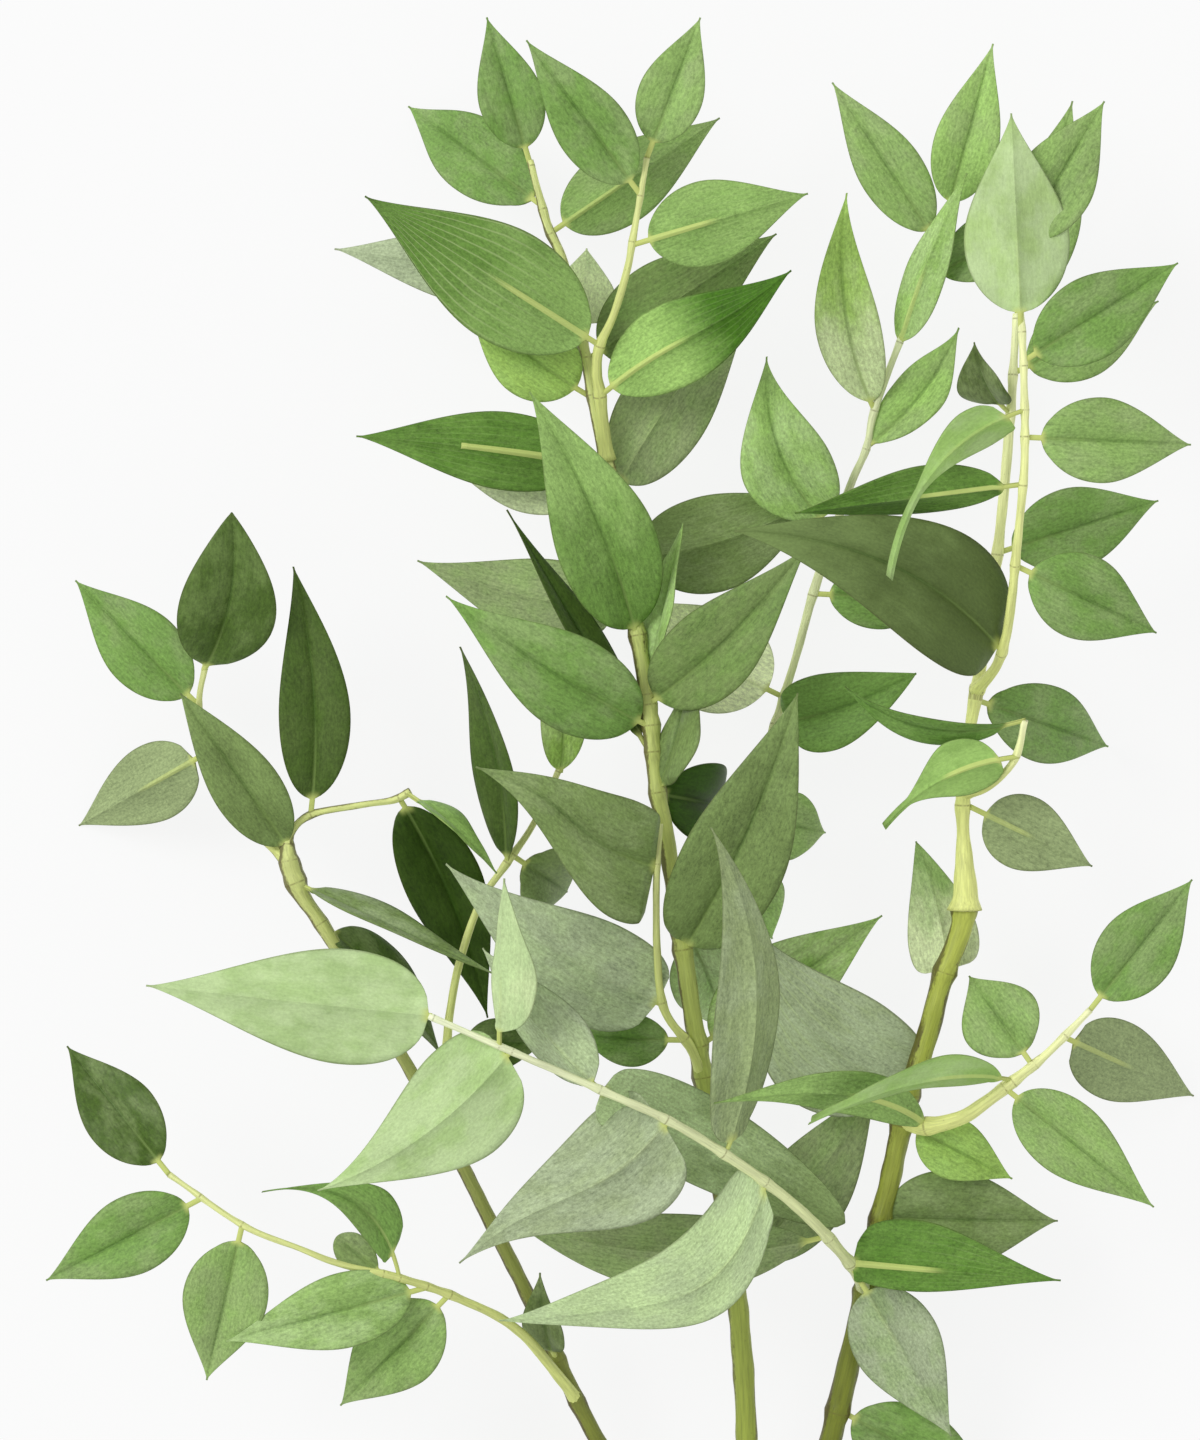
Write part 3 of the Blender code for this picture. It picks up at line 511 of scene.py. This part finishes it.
class Finish:
    """A material whose nodes are added one by one and end at its Principled shader."""

    def __init__(self, name, **constants):
        self.material = bpy.data.materials.new(name)
        self.material.use_nodes = True
        self.tree = self.material.node_tree
        self.shader = self.tree.nodes["Principled BSDF"]
        for socket, value in constants.items():
            self.shader.inputs[socket.replace("_", " ")].default_value = value

    def node(self, kind, settings, sockets, output=0):
        """Adds a node, sets it up, fills its sockets with values or signals, returns one output."""
        made = self.tree.nodes.new(kind)
        for name, value in settings.items():
            setattr(made, name, value)
        for key, value in sockets.items():
            self.feed(made.inputs[key], value)
        return Signal(self, made.outputs[output])

    def feed(self, socket, value):
        """Links a signal to a socket, or sets the socket to a plain value."""
        if isinstance(value, Signal):
            self.tree.links.new(value.socket, socket)
        else:
            socket.default_value = value

    def shade(self, name, value):
        """Feeds one socket of the material's own shader."""
        self.feed(self.shader.inputs[name], value)

    def attribute(self, name, output="Vector"):
        """What a mesh keeps under a name for each of its points."""
        return self.node("ShaderNodeAttribute", {"attribute_name": name}, {}, output)

    def parts(self, vector):
        """The three numbers of a vector."""
        split = self.node("ShaderNodeSeparateXYZ", {}, {0: vector})
        return [Signal(self, socket) for socket in split.socket.node.outputs]

    def scaled(self, vector, scale):
        """A vector or colour multiplied by another one, number by number."""
        return self.node("ShaderNodeVectorMath", {"operation": "MULTIPLY"}, {0: vector, 1: scale})

    def clouded(self, place, scale, detail, roughness):
        """Noise around a half. Each number of scale says how many lumps lie in a millimetre."""
        sockets = {"Vector": self.scaled(place, scale), "Scale": 1.0, "Detail": detail,
                   "Roughness": roughness}
        return self.node("ShaderNodeTexNoise", {}, sockets)

    def mix(self, factor, first, second):
        """The first colour where the factor is 0, the second one where it is 1."""
        colours = {6: first, 7: second}
        return self.node("ShaderNodeMix", {"data_type": "RGBA"}, {0: factor, **colours}, 2)

    def tinted(self, colour, factor, tint):
        """A colour with a plain tint laid over it."""
        return self.mix(factor, colour, (*tint, 1))

    def brightened(self, colour, amount):
        """A colour made lighter or darker by a number around 1."""
        grey = self.node("ShaderNodeCombineXYZ", {}, {0: amount, 1: amount, 2: amount})
        return self.scaled(colour, grey)

    def relief(self, height, depth):
        """Bump from a height between 0 and 1, with its depth in millimetres."""
        sockets = {"Strength": 1.0, "Distance": depth * MM, "Height": height}
        return self.node("ShaderNodeBump", {}, sockets)


def leaf_finish():
    """Leaf skin: mottled green along the blade, paler veins and rib below, a darker rim and painted
    shade in the groove.
    """
    finish = Finish("leaf_skin", Specular_IOR_Level=0.16)
    tone = finish.attribute("tone", "Color")
    mottling = finish.attribute("tone", "Alpha")
    wash = finish.attribute("wash", "Color")
    along, across, side = finish.parts(finish.attribute("blade"))
    rib_trait, vein_trait, gathers = finish.parts(finish.attribute("traits"))
    fibre_place = finish.attribute("fibre")
    _, off_middle, _ = finish.parts(fibre_place)
    below = side.rising(0.3, -0.3)

    streaks = finish.clouded(fibre_place, *STREAKS)
    speckle = finish.clouded(fibre_place, *SPECKLE)
    clouds = finish.clouded(fibre_place, *LEAF_CLOUDS)
    patches = finish.clouded(fibre_place, *LEAF_PATCHES)
    fine = (streaks - 0.5) * 0.6 + (speckle - 0.5) * 1.4
    brightness = 1 + fine * mottling + (clouds - 0.5) * 0.5

    lines = abs((abs(across) * VEIN_COUNT + (clouds - 0.5) * 0.5).fraction() - 0.5) * 2
    vein = lines.rising(0.7, 0.98) * vein_trait * below * along.rising(0.05, 0.6)
    rim = abs(across).rising(0.955, 1.0)
    tip = along.rising(0.95, 1.0)
    groove = abs(off_middle).rising(0.75, 0.15) * (1 - below) * along.rising(0.9, 0.5)
    pale_base = groove * along.rising(0.45, 0.05)
    rib_end = along.rising(RIB_REACH, 0.25) + (rib_trait - 1).rising(0, 0.2)
    rib = side.rising(-1.1, -1.6) * rib_trait * rib_end.rising(0, 1)
    stalk = along.rising(0.04, -0.01) * abs(off_middle).rising(3.0, 1.0)

    gathered = gathers * (along - 0.5) * 1.4 + (abs(gathers) - 1).rising(0, 1) * 0.25
    washed = (patches - 0.5) * (3 - abs(gathers) * 1.6) + 0.45 + gathered
    colour = finish.mix(washed.rising(0.1, 0.95) * (0.45 + abs(gathers) * 0.4), tone, wash)
    colour = finish.brightened(colour, brightness)
    # painted shade: the midrib groove of the upper skin is darkened where the fold shades it
    colour = finish.tinted(colour, groove * 0.35, GROOVE_SHADE_TINT)
    colour = finish.tinted(colour, pale_base * rib_trait * 0.35, LEAF_BASE_TINT)
    colour = finish.tinted(colour, vein * 0.7, VEIN_TINT)
    colour = finish.tinted(colour, rib.rising(0, 1) * 0.75, RIB_TINT)
    colour = finish.tinted(colour, stalk, PETIOLE_TINT)
    colour = finish.tinted(colour, rim * 0.4 + tip * 0.3, RIM_TINT)
    finish.shade("Base Color", colour)
    finish.shade("Roughness", 0.5 + below * 0.2 + (speckle - 0.5) * 0.2)
    finish.shade("Normal", finish.relief(vein + streaks * 0.4 + speckle * 0.4, LEAF_RELIEF))
    return finish.material


def bark_finish():
    """Stem skin: green to straw with fine fibres, dark on old patches and at nodes, with painted
    shade along its edges, deeper on one side.
    """
    finish = Finish("stem_skin", Roughness=0.5, Specular_IOR_Level=0.4)
    tone = finish.attribute("tone", "Color")
    node_ring, edge, cut = finish.parts(finish.attribute("traits"))
    fibre_place = finish.attribute("fibre")
    fibres = finish.clouded(fibre_place, *BARK_FIBRES)
    flecks = finish.clouded(fibre_place, *BARK_FLECKS)
    clouds = finish.clouded(fibre_place, *BARK_CLOUDS)

    ragged = (clouds - 0.5) * 1.8 + (flecks - 0.5) * 0.7
    # old brown bark in ragged patches, with painted shade added along the edges
    old_bark_and_edge_shade = (ragged + edge).rising(0.6, 0.95) * 0.8 + flecks.rising(0.62, 0.75) * 0.25
    scar = node_ring.rising(0.9, 1.0) * fibres.rising(0.35, 0.6)

    colour = finish.brightened(tone, 1 + (fibres - 0.5) * 0.9 + (clouds - 0.5) * 0.5)
    colour = finish.tinted(colour, old_bark_and_edge_shade, OLD_BARK_AND_SHADE_TINT)
    colour = finish.tinted(colour, scar * 0.6, SCAR_TINT)
    colour = finish.tinted(colour, cut, CUT_TINT)
    finish.shade("Base Color", colour)
    finish.shade("Normal", finish.relief(fibres * 0.8 + flecks * 0.4, BARK_RELIEF))
    return finish.material


def deselect_all():
    """Leaves nothing selected."""
    for item in bpy.context.selected_objects:
        item.select_set(False)


def activate(piece):
    """Selects one piece alone and makes it the one that operators work on."""
    deselect_all()
    piece.select_set(True)
    bpy.context.view_layer.objects.active = piece


def coordinates(mesh):
    """A mesh's points as rows."""
    flat = np.empty(len(mesh.vertices) * 3)
    mesh.vertices.foreach_get("co", flat)
    return flat.reshape(-1, 3)


def place_points(mesh, rows):
    """Moves a mesh's points to rows in millimetres on the plan."""
    mesh.vertices.foreach_set("co", ((rows - np.array(PLAN_ORIGIN)) * MM).ravel())


def write_points(mesh, name, kind, rows):
    """Adds an attribute that holds one vector or colour for each point."""
    attribute = mesh.attributes.new(name, kind, "POINT")
    key = "color" if kind == "FLOAT_COLOR" else "vector"
    attribute.data.foreach_set(key, np.ascontiguousarray(rows, dtype=np.float32).ravel())


def select_points(mesh, chosen):
    """Selects the points, edges and faces of a mesh in edit mode that a test of a point picks."""
    bpy.ops.object.mode_set(mode="OBJECT")
    for face in mesh.polygons:
        face.select = all(chosen(mesh.vertices[i].co) for i in face.vertices)
    for edge in mesh.edges:
        edge.select = all(chosen(mesh.vertices[i].co) for i in edge.vertices)
    for vertex in mesh.vertices:
        vertex.select = chosen(vertex.co)
    bpy.ops.object.mode_set(mode="EDIT")


def crowd_columns(mesh):
    """Moves the strip's columns towards its middle, where the rib and the fold are."""
    columns = STRIP_COLUMNS // 2
    for column in range(1, columns):
        share = column / columns
        crowded = share ** COLUMN_CROWDING
        for sign in (-1, 1):
            select_points(mesh, lambda co: abs(co.y - sign * share) < SAME_PLACE)
            bpy.ops.transform.translate(value=(0, sign * (crowded - share), 0))


def raise_rib(mesh):
    """Draws the rib out of the strip's lower skin, narrower at its crest and wider at its end."""
    half = RIB_SHARE + SAME_PLACE
    select_points(mesh, lambda co: co.z < 0 and abs(co.y) < half and co.x < RIB_REACH)
    bpy.ops.mesh.select_mode(type="FACE")
    bpy.ops.mesh.extrude_region_move(TRANSFORM_OT_translate={"value": (0, 0, -RIB_RISE)})
    bpy.ops.transform.resize(value=(1, RIB_CREST, 1), center_override=(0, 0, 0))
    bpy.ops.mesh.select_mode(type="VERT")
    end_row = RIB_REACH - RIB_END_ROWS * (1 - STRIP_START) / STRIP_ROWS
    select_points(mesh, lambda co: co.z < RIB_LEVEL and co.x > end_row)
    bpy.ops.transform.resize(value=RIB_END_SCALE, center_override=(0, 0, LOWER_SKIN))


def model_strip():
    """The strip that leaves are bent from."""
    bpy.ops.mesh.primitive_grid_add(x_subdivisions=STRIP_ROWS, y_subdivisions=STRIP_COLUMNS, size=2)
    strip = bpy.context.object
    activate(strip)
    bpy.ops.object.mode_set(mode="EDIT")
    length = 1 - STRIP_START
    bpy.ops.transform.resize(value=(length / 2, 1, 1), center_override=(1, 0, 0))
    crowd_columns(strip.data)
    bpy.ops.mesh.select_all(action="SELECT")
    bpy.ops.object.mode_set(mode="OBJECT")
    wall = strip.modifiers.new("skins", "SOLIDIFY")
    wall.thickness = 1
    wall.offset = 0
    bpy.ops.object.modifier_apply(modifier=wall.name)
    bpy.ops.object.mode_set(mode="EDIT")
    raise_rib(strip.data)
    bpy.ops.object.mode_set(mode="OBJECT")
    bpy.ops.object.shade_smooth()
    return strip


def blade_axes(spec):
    """A leaf's chord and its direction, and the side and up directions that its roll turns."""
    chord = spec.tip - spec.root
    axis = chord.normalized()
    flat_side = axis.cross(Vector((0, 0, 1))).normalized()
    flat_up = flat_side.cross(axis)
    side = flat_side * cos(spec.roll) + flat_up * sin(spec.roll)
    up = flat_up * cos(spec.roll) - flat_side * sin(spec.roll)
    return chord, axis, side, up


def leaf_shares(spec, on_strip):
    """How far the strip's points lie along the blade, and along the leaf with its petiole."""
    blade = np.clip(on_strip, 0, 1)
    blade = blade - ROW_CROWDING * np.sin(tau * blade)
    petiole = spec.petiole / (spec.tip - spec.root).length
    stalk = petiole * np.clip(1 - on_strip / STRIP_START, 0, 1)
    return blade, np.where(on_strip < 0, stalk, petiole + (1 - petiole) * blade)


def spine_points(spec, along, chord, side, up):
    """The leaf's middle line: its chord arched up, bowed to the side and swerved."""
    bulge = 4 * along * (1 - along)
    arched = np.outer(along, chord) + np.outer(bulge * spec.arch, up)
    bowed = arched + np.outer(bulge * spec.bow, side)
    return bowed + (np.outer(np.sin(tau * along) * spec.swerve, side) + np.array(spec.root))


def half_widths(spec, blade):
    """Half the width of a blade at shares of its own length."""
    margin = 1e-6
    peak_power = log(0.5) / log(spec.widest)
    inside = np.clip(blade, margin, 1 - margin)
    swell = np.clip(np.sin(pi * inside ** peak_power), 0, 1)
    swell = swell ** np.where(blade < spec.widest, spec.fullness, spec.taper)
    narrowest = np.where(blade > spec.widest, spec.end, PETIOLE_WIDTH)
    return np.maximum(spec.width * swell, narrowest) / 2


def drawn_across(spec, column, blade, reach):
    """Shares of half the width, with the rib's columns drawn to the rib's own width."""
    slightness = RIB_LEAST_WIDTH + (1 - RIB_LEAST_WIDTH) * spec.rib
    rib_half = RIB_HALF_WIDTH * slightness * (1 - RIB_NARROWING * blade)
    rib_half = np.minimum(rib_half, reach * RIB_MOST_SHARE)
    beyond = np.clip((np.abs(column) - RIB_SHARE) / (1 - RIB_SHARE), 0, 1)
    spread = np.minimum(np.abs(column) / RIB_SHARE, 1) * rib_half + beyond * (reach - rib_half)
    return np.sign(column) * np.minimum(spread / reach, 1)


def sunk_rib(spec, level, blade):
    """Levels of the strip, with the rib's own sunk where it is slight and where it fades out."""
    fade = 1 if spec.rib > 1 else np.clip(1 - (blade / RIB_REACH) ** 3, 0, 1)
    sunk = LOWER_SKIN + (level - LOWER_SKIN) * fade * min(1, RIB_LEAST_RISE + spec.rib)
    return np.where(level < RIB_LEVEL, sunk, level)


def thicknesses(height, across, rounded):
    """Heights in millimetres from levels: a round petiole that turns into a thin blade."""
    crest = 1 + CREST_GAIN * (np.abs(height) + LOWER_SKIN)
    roundness = np.sqrt(1 - PETIOLE_ROUNDING * across ** 2) * crest
    stalk = np.sign(height) * PETIOLE_THICKNESS / 2 * roundness
    blade = height * BLADE_THICKNESS * (1 - EDGE_THINNING * across ** 2)
    return stalk * rounded + blade * (1 - rounded)


def lifts(spec, across, blade, reach, rounded, draw):
    """How far the two halves rise beside the rib: folded up, with cheeks, a ripple and a twist."""
    twist = draw.uniform(-MOST_TWIST, MOST_TWIST) * (blade - TWIST_CENTRE)
    phase = draw.uniform(0, tau)
    waves = draw.uniform(*RIPPLE_COUNTS)
    strength = RIPPLE_HEIGHT * draw.uniform(*RIPPLE_STRENGTHS)
    ripple = strength * np.sin(tau * waves * blade + phase + np.sign(across) * RIPPLE_LAG)
    cheek = CHEEK_RISE * np.sin(pi * np.abs(across)) * reach
    fold = np.abs(across) * reach * sin(FOLD_ANGLE)
    gutter = GUTTER_DEPTH * reach * (1 - np.exp(-np.abs(across) / GUTTER_WIDTH))
    lift = (fold + cheek + gutter) * (1 - rounded)
    lift = lift + ripple * across ** 2 * np.sqrt(reach / spec.width)
    return lift + twist * across * reach


def bent_leaf(strip, spec, name, seed):
    """A copy of the strip with a leaf's outline, fold, arch, bow and a slight ripple of its own."""
    piece = strip.copy()
    piece.data = strip.data.copy()
    piece.name = name
    bpy.context.scene.collection.objects.link(piece)
    mesh = piece.data
    draw = random.Random(seed)
    on_strip, column, level = coordinates(mesh).T
    blade, along = leaf_shares(spec, on_strip)
    chord, axis, side, up = blade_axes(spec)

    reach = np.where(on_strip < 0, PETIOLE_WIDTH / 2, half_widths(spec, blade))
    leaning = spec.lean * np.clip(blade / ROUND_BASE, 0, 1)
    reach = reach * (1 - spec.face * np.sign(column) * leaning)
    across = drawn_across(spec, column, blade, reach)
    height = sunk_rib(spec, level, blade)
    rounded = np.clip(1 - blade / ROUND_BASE, 0, 1)
    rise = lifts(spec, across, blade, reach, rounded, draw) + thicknesses(height, across, rounded)
    outward = across * reach * cos(FOLD_ANGLE) * spec.face
    points = spine_points(spec, along, chord, side, up)
    points += np.outer(rise * spec.face, up) - np.outer(outward, side)
    points -= np.outer(spec.skew * outward * (1 - blade), axis)
    points[:, 2] = np.maximum(points[:, 2], LIFT_OFF_TABLE + height * SKIN_GAP_ON_TABLE)
    place_points(mesh, points)

    count = len(points)
    skin = np.where(level < RIB_LEVEL, 2, 1) * np.sign(height)
    blade_place = np.column_stack([np.where(on_strip < 0, on_strip, blade), across, skin])
    pattern = np.full(count, draw.uniform(0, PATTERN_RANGE))
    fibre = np.column_stack([along * chord.length, across * reach, pattern])
    traits = np.tile([spec.rib, spec.veins, spec.gathers], (count, 1))
    write_points(mesh, "tone", "FLOAT_COLOR", np.tile([*spec.tone, spec.grain], (count, 1)))
    write_points(mesh, "wash", "FLOAT_COLOR", np.tile([*spec.wash, 1], (count, 1)))
    write_points(mesh, "blade", "FLOAT_VECTOR", blade_place)
    write_points(mesh, "fibre", "FLOAT_VECTOR", fibre)
    write_points(mesh, "traits", "FLOAT_VECTOR", traits)
    return piece


def sampled_route(points):
    """Smooth points with radii along a Catmull-Rom curve, about a tube step apart."""
    rows = [np.array(point, float) for point in points]
    rows = [2 * rows[0] - rows[1]] + rows + [2 * rows[-1] - rows[-2]]
    samples = []
    for a, b, c, d in zip(rows, rows[1:], rows[2:], rows[3:]):
        count = max(1, round(float(np.linalg.norm((c - b)[:3])) / TUBE_STEP))
        for i in range(count):
            t = i / count
            square = (2 * a - 5 * b + 4 * c - d) * t * t
            cube = (3 * b - a - 3 * c + d) * t ** 3
            samples.append(b + ((c - a) * t + square + cube) / 2)
    samples.append(rows[-2])
    return np.array(samples)


def node_rings(places, lengths, joints):
    """How close each place of a stem is to one of its nodes: 1 at the node, 0 well away."""
    rings = np.zeros(len(places))
    for joint in joints:
        distances = np.linalg.norm(places - np.array(joint), axis=1)
        nearest = int(np.argmin(distances))
        if distances[nearest] < NODE_CATCH:
            rings = np.maximum(rings, np.exp(-((lengths - lengths[nearest]) / NODE_LENGTH) ** 2))
    return rings


def swept_tube(name, places, radii):
    """A welded tube with closed ends along places on the plan."""
    curve = bpy.data.curves.new(name, "CURVE")
    curve.dimensions = "3D"
    curve.bevel_depth = MM
    curve.bevel_resolution = TUBE_SIDES
    curve.use_fill_caps = True
    spline = curve.splines.new("POLY")
    spline.points.add(len(places) - 1)
    placed = (places - np.array(PLAN_ORIGIN)) * MM
    for point, place, radius in zip(spline.points, placed, radii):
        point.co = (*place, 1)
        point.radius = radius
    piece = bpy.data.objects.new(name, curve)
    bpy.context.scene.collection.objects.link(piece)
    activate(piece)
    bpy.ops.object.convert(target="MESH")
    bpy.ops.object.mode_set(mode="EDIT")
    bpy.ops.mesh.select_all(action="SELECT")
    bpy.ops.mesh.remove_doubles(threshold=WELD * MM)
    bpy.ops.mesh.normals_make_consistent(inside=False)
    bpy.ops.object.mode_set(mode="OBJECT")
    bpy.ops.object.shade_smooth()
    return piece


def around_stem(rows, places):
    """For points of a tube: the nearest place, the spoke from it, and how far beside and above."""
    nearest = np.array([int(np.argmin(((places - row) ** 2).sum(1))) for row in rows])
    tangents = np.gradient(places, axis=0)
    tangents /= np.linalg.norm(tangents, axis=1)[:, None]
    sides = np.cross(tangents, [0, 0, 1])
    sides /= np.linalg.norm(sides, axis=1)[:, None]
    ups = np.cross(sides, tangents)
    spokes = rows - places[nearest]
    beside = (spokes * sides[nearest]).sum(1)
    above = (spokes * ups[nearest]).sum(1)
    return nearest, spokes, beside, above


def stem_tube(name, route, bark, joints, is_branch, edge_shade_strength):
    """One stem or twig as a tube with a swelling at every node, lumpy bark and its own tones."""
    samples = sampled_route(route)
    places, radii = samples[:, :3], samples[:, 3]
    steps = np.linalg.norm(np.diff(places, axis=0), axis=1)
    lengths = np.concatenate([[0], np.cumsum(steps)])
    rings = node_rings(places, lengths, joints)
    swollen = radii * (1 + NODE_SWELL * rings)
    if is_branch:
        swollen *= 1 + ROOT_FLARE * np.exp(-lengths / ROOT_FLARE_LENGTH)
    piece = swept_tube(name, places, swollen)
    mesh = piece.data

    rows = coordinates(mesh) / MM + np.array(PLAN_ORIGIN)
    nearest, spokes, beside, above = around_stem(rows, places)
    run = lengths[nearest]
    fibre = np.column_stack([beside, above, run + PATTERN_SHIFT * len(name)])
    lumps = np.array([noise.noise(Vector(row * LUMP_SCALE)) for row in fibre])
    rows += spokes * (lumps * LUMP_RISE)[:, None]
    rows[:, 2] = np.maximum(rows[:, 2], BARK_OFF_TABLE)
    place_points(mesh, rows)

    low, high = (np.array([*tone, 1]) for tone in bark)
    share = (run / lengths[-1])[:, None] ** 2
    aside = beside / radii[nearest]
    # painted shade: darker towards both edges of the tube, by a smaller share on one side
    edge = np.where(aside < 0, -aside, aside * LIT_SIDE) * edge_shade_strength
    cut = ((run < CUT_DEPTH) & (not is_branch)).astype(float)
    write_points(mesh, "tone", "FLOAT_COLOR", low * (1 - share) + high * share)
    write_points(mesh, "fibre", "FLOAT_VECTOR", fibre)
    write_points(mesh, "traits", "FLOAT_VECTOR", np.column_stack([rings[nearest], edge, cut]))
    return piece


def joined(pieces, name, material):
    """Joins pieces into the first one, names it and gives it its material."""
    deselect_all()
    for piece in pieces:
        piece.select_set(True)
    bpy.context.view_layer.objects.active = pieces[0]
    if len(pieces) > 1:
        bpy.ops.object.join()
    whole = bpy.context.view_layer.objects.active
    whole.name = name
    whole.data.materials.clear()
    whole.data.materials.append(material)
    return whole


def branch_tubes(branch, joints):
    """The stem of a branch and its shoots, the old ones with deeper painted shade along their
    edges.
    """
    tubes = []
    for index, (route, bark) in enumerate(zip(branch.routes, branch.barks)):
        name = f"{branch.name}_tube_{index}"
        is_old = index == 0 and branch.name.endswith("stem")
        edge = STRONG_EDGE_SHADE if is_old else FAINT_EDGE_SHADE
        tubes.append(stem_tube(name, route, bark, joints, branch.name != "main_stem", edge))
    return tubes


def branch_blades(branch, strip):
    """The leaves of a branch, each with chances of its own."""
    blades = []
    for index, spec in enumerate(branch.leaves):
        name = f"{branch.name}_blade_{index}"
        blades.append(bent_leaf(strip, spec, name, f"{branch.name} {index}"))
    return blades


def dress(branch, strip, leaf_material, bark_material, joints):
    """The stems and the leaves that stand for one node of the frame."""
    stem = joined(branch_tubes(branch, joints), branch.name + "_wood", bark_material)
    leaves = joined(branch_blades(branch, strip), branch.name + "_leaves", leaf_material)
    for piece in (stem, leaves):
        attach(piece, "root")
        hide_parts(branch.name)


def light_table():
    """A pale floor that glows a little, so that shadows on it stay faint."""
    bpy.ops.mesh.primitive_plane_add(size=FLOOR_SIZE, location=(0, 0, -FLOOR_DROP))
    floor = bpy.context.object
    floor.name = "floor"
    grey = (FLOOR_GREY, FLOOR_GREY, FLOOR_GREY, 1)
    finish = Finish("pale_floor", Base_Color=grey, Roughness=0.9, Specular_IOR_Level=0.1,
                    Emission_Color=(1, 1, 1, 1), Emission_Strength=FLOOR_GLOW)
    floor.data.materials.append(finish.material)


def key_light():
    """A broad, even light from the upper left."""
    data = bpy.data.lights.new("key", "SUN")
    data.energy = KEY_LIGHT
    data.angle = KEY_SPREAD
    lamp = bpy.data.objects.new("key", data)
    bpy.context.scene.collection.objects.link(lamp)
    lamp.rotation_euler = Vector(KEY_DIRECTION).to_track_quat("Z", "Y").to_euler()


def white_room():
    """White surroundings that light every side."""
    world = bpy.data.worlds.new("white_room")
    world.use_nodes = True
    background = world.node_tree.nodes["Background"]
    background.inputs["Color"].default_value = (1, 1, 1, 1)
    background.inputs["Strength"].default_value = ROOM_LIGHT
    bpy.context.scene.world = world


def overhead_camera():
    """A camera that looks straight down on the part of the stem that the view shows."""
    camera = bpy.data.objects.new("camera", bpy.data.cameras.new("camera"))
    bpy.context.scene.collection.objects.link(camera)
    camera.data.sensor_width = SENSOR
    camera.data.lens = SENSOR * CAMERA_DISTANCE / VIEW_HEIGHT
    camera.data.clip_end = 3 * CAMERA_DISTANCE
    middle = -PLAN_ORIGIN * MM
    camera.location = (middle.x, middle.y, FOCUS_LEVEL + CAMERA_DISTANCE)
    bpy.context.scene.camera = camera


def build():
    """Dresses every branch and sets up the table, the light and the camera."""
    deselect_all()
    joints = [spec.root for branch in BRANCHES for spec in branch.leaves]
    joints += [Vector(route[0][:3]) for branch in BRANCHES for route in branch.routes]
    strip = model_strip()
    leaf_material = leaf_finish()
    bark_material = bark_finish()
    for branch in BRANCHES:
        dress(branch, strip, leaf_material, bark_material, joints)
    bpy.data.objects.remove(strip)
    light_table()
    key_light()
    white_room()
    overhead_camera()
    bpy.context.scene.view_settings.view_transform = "Standard"


build()
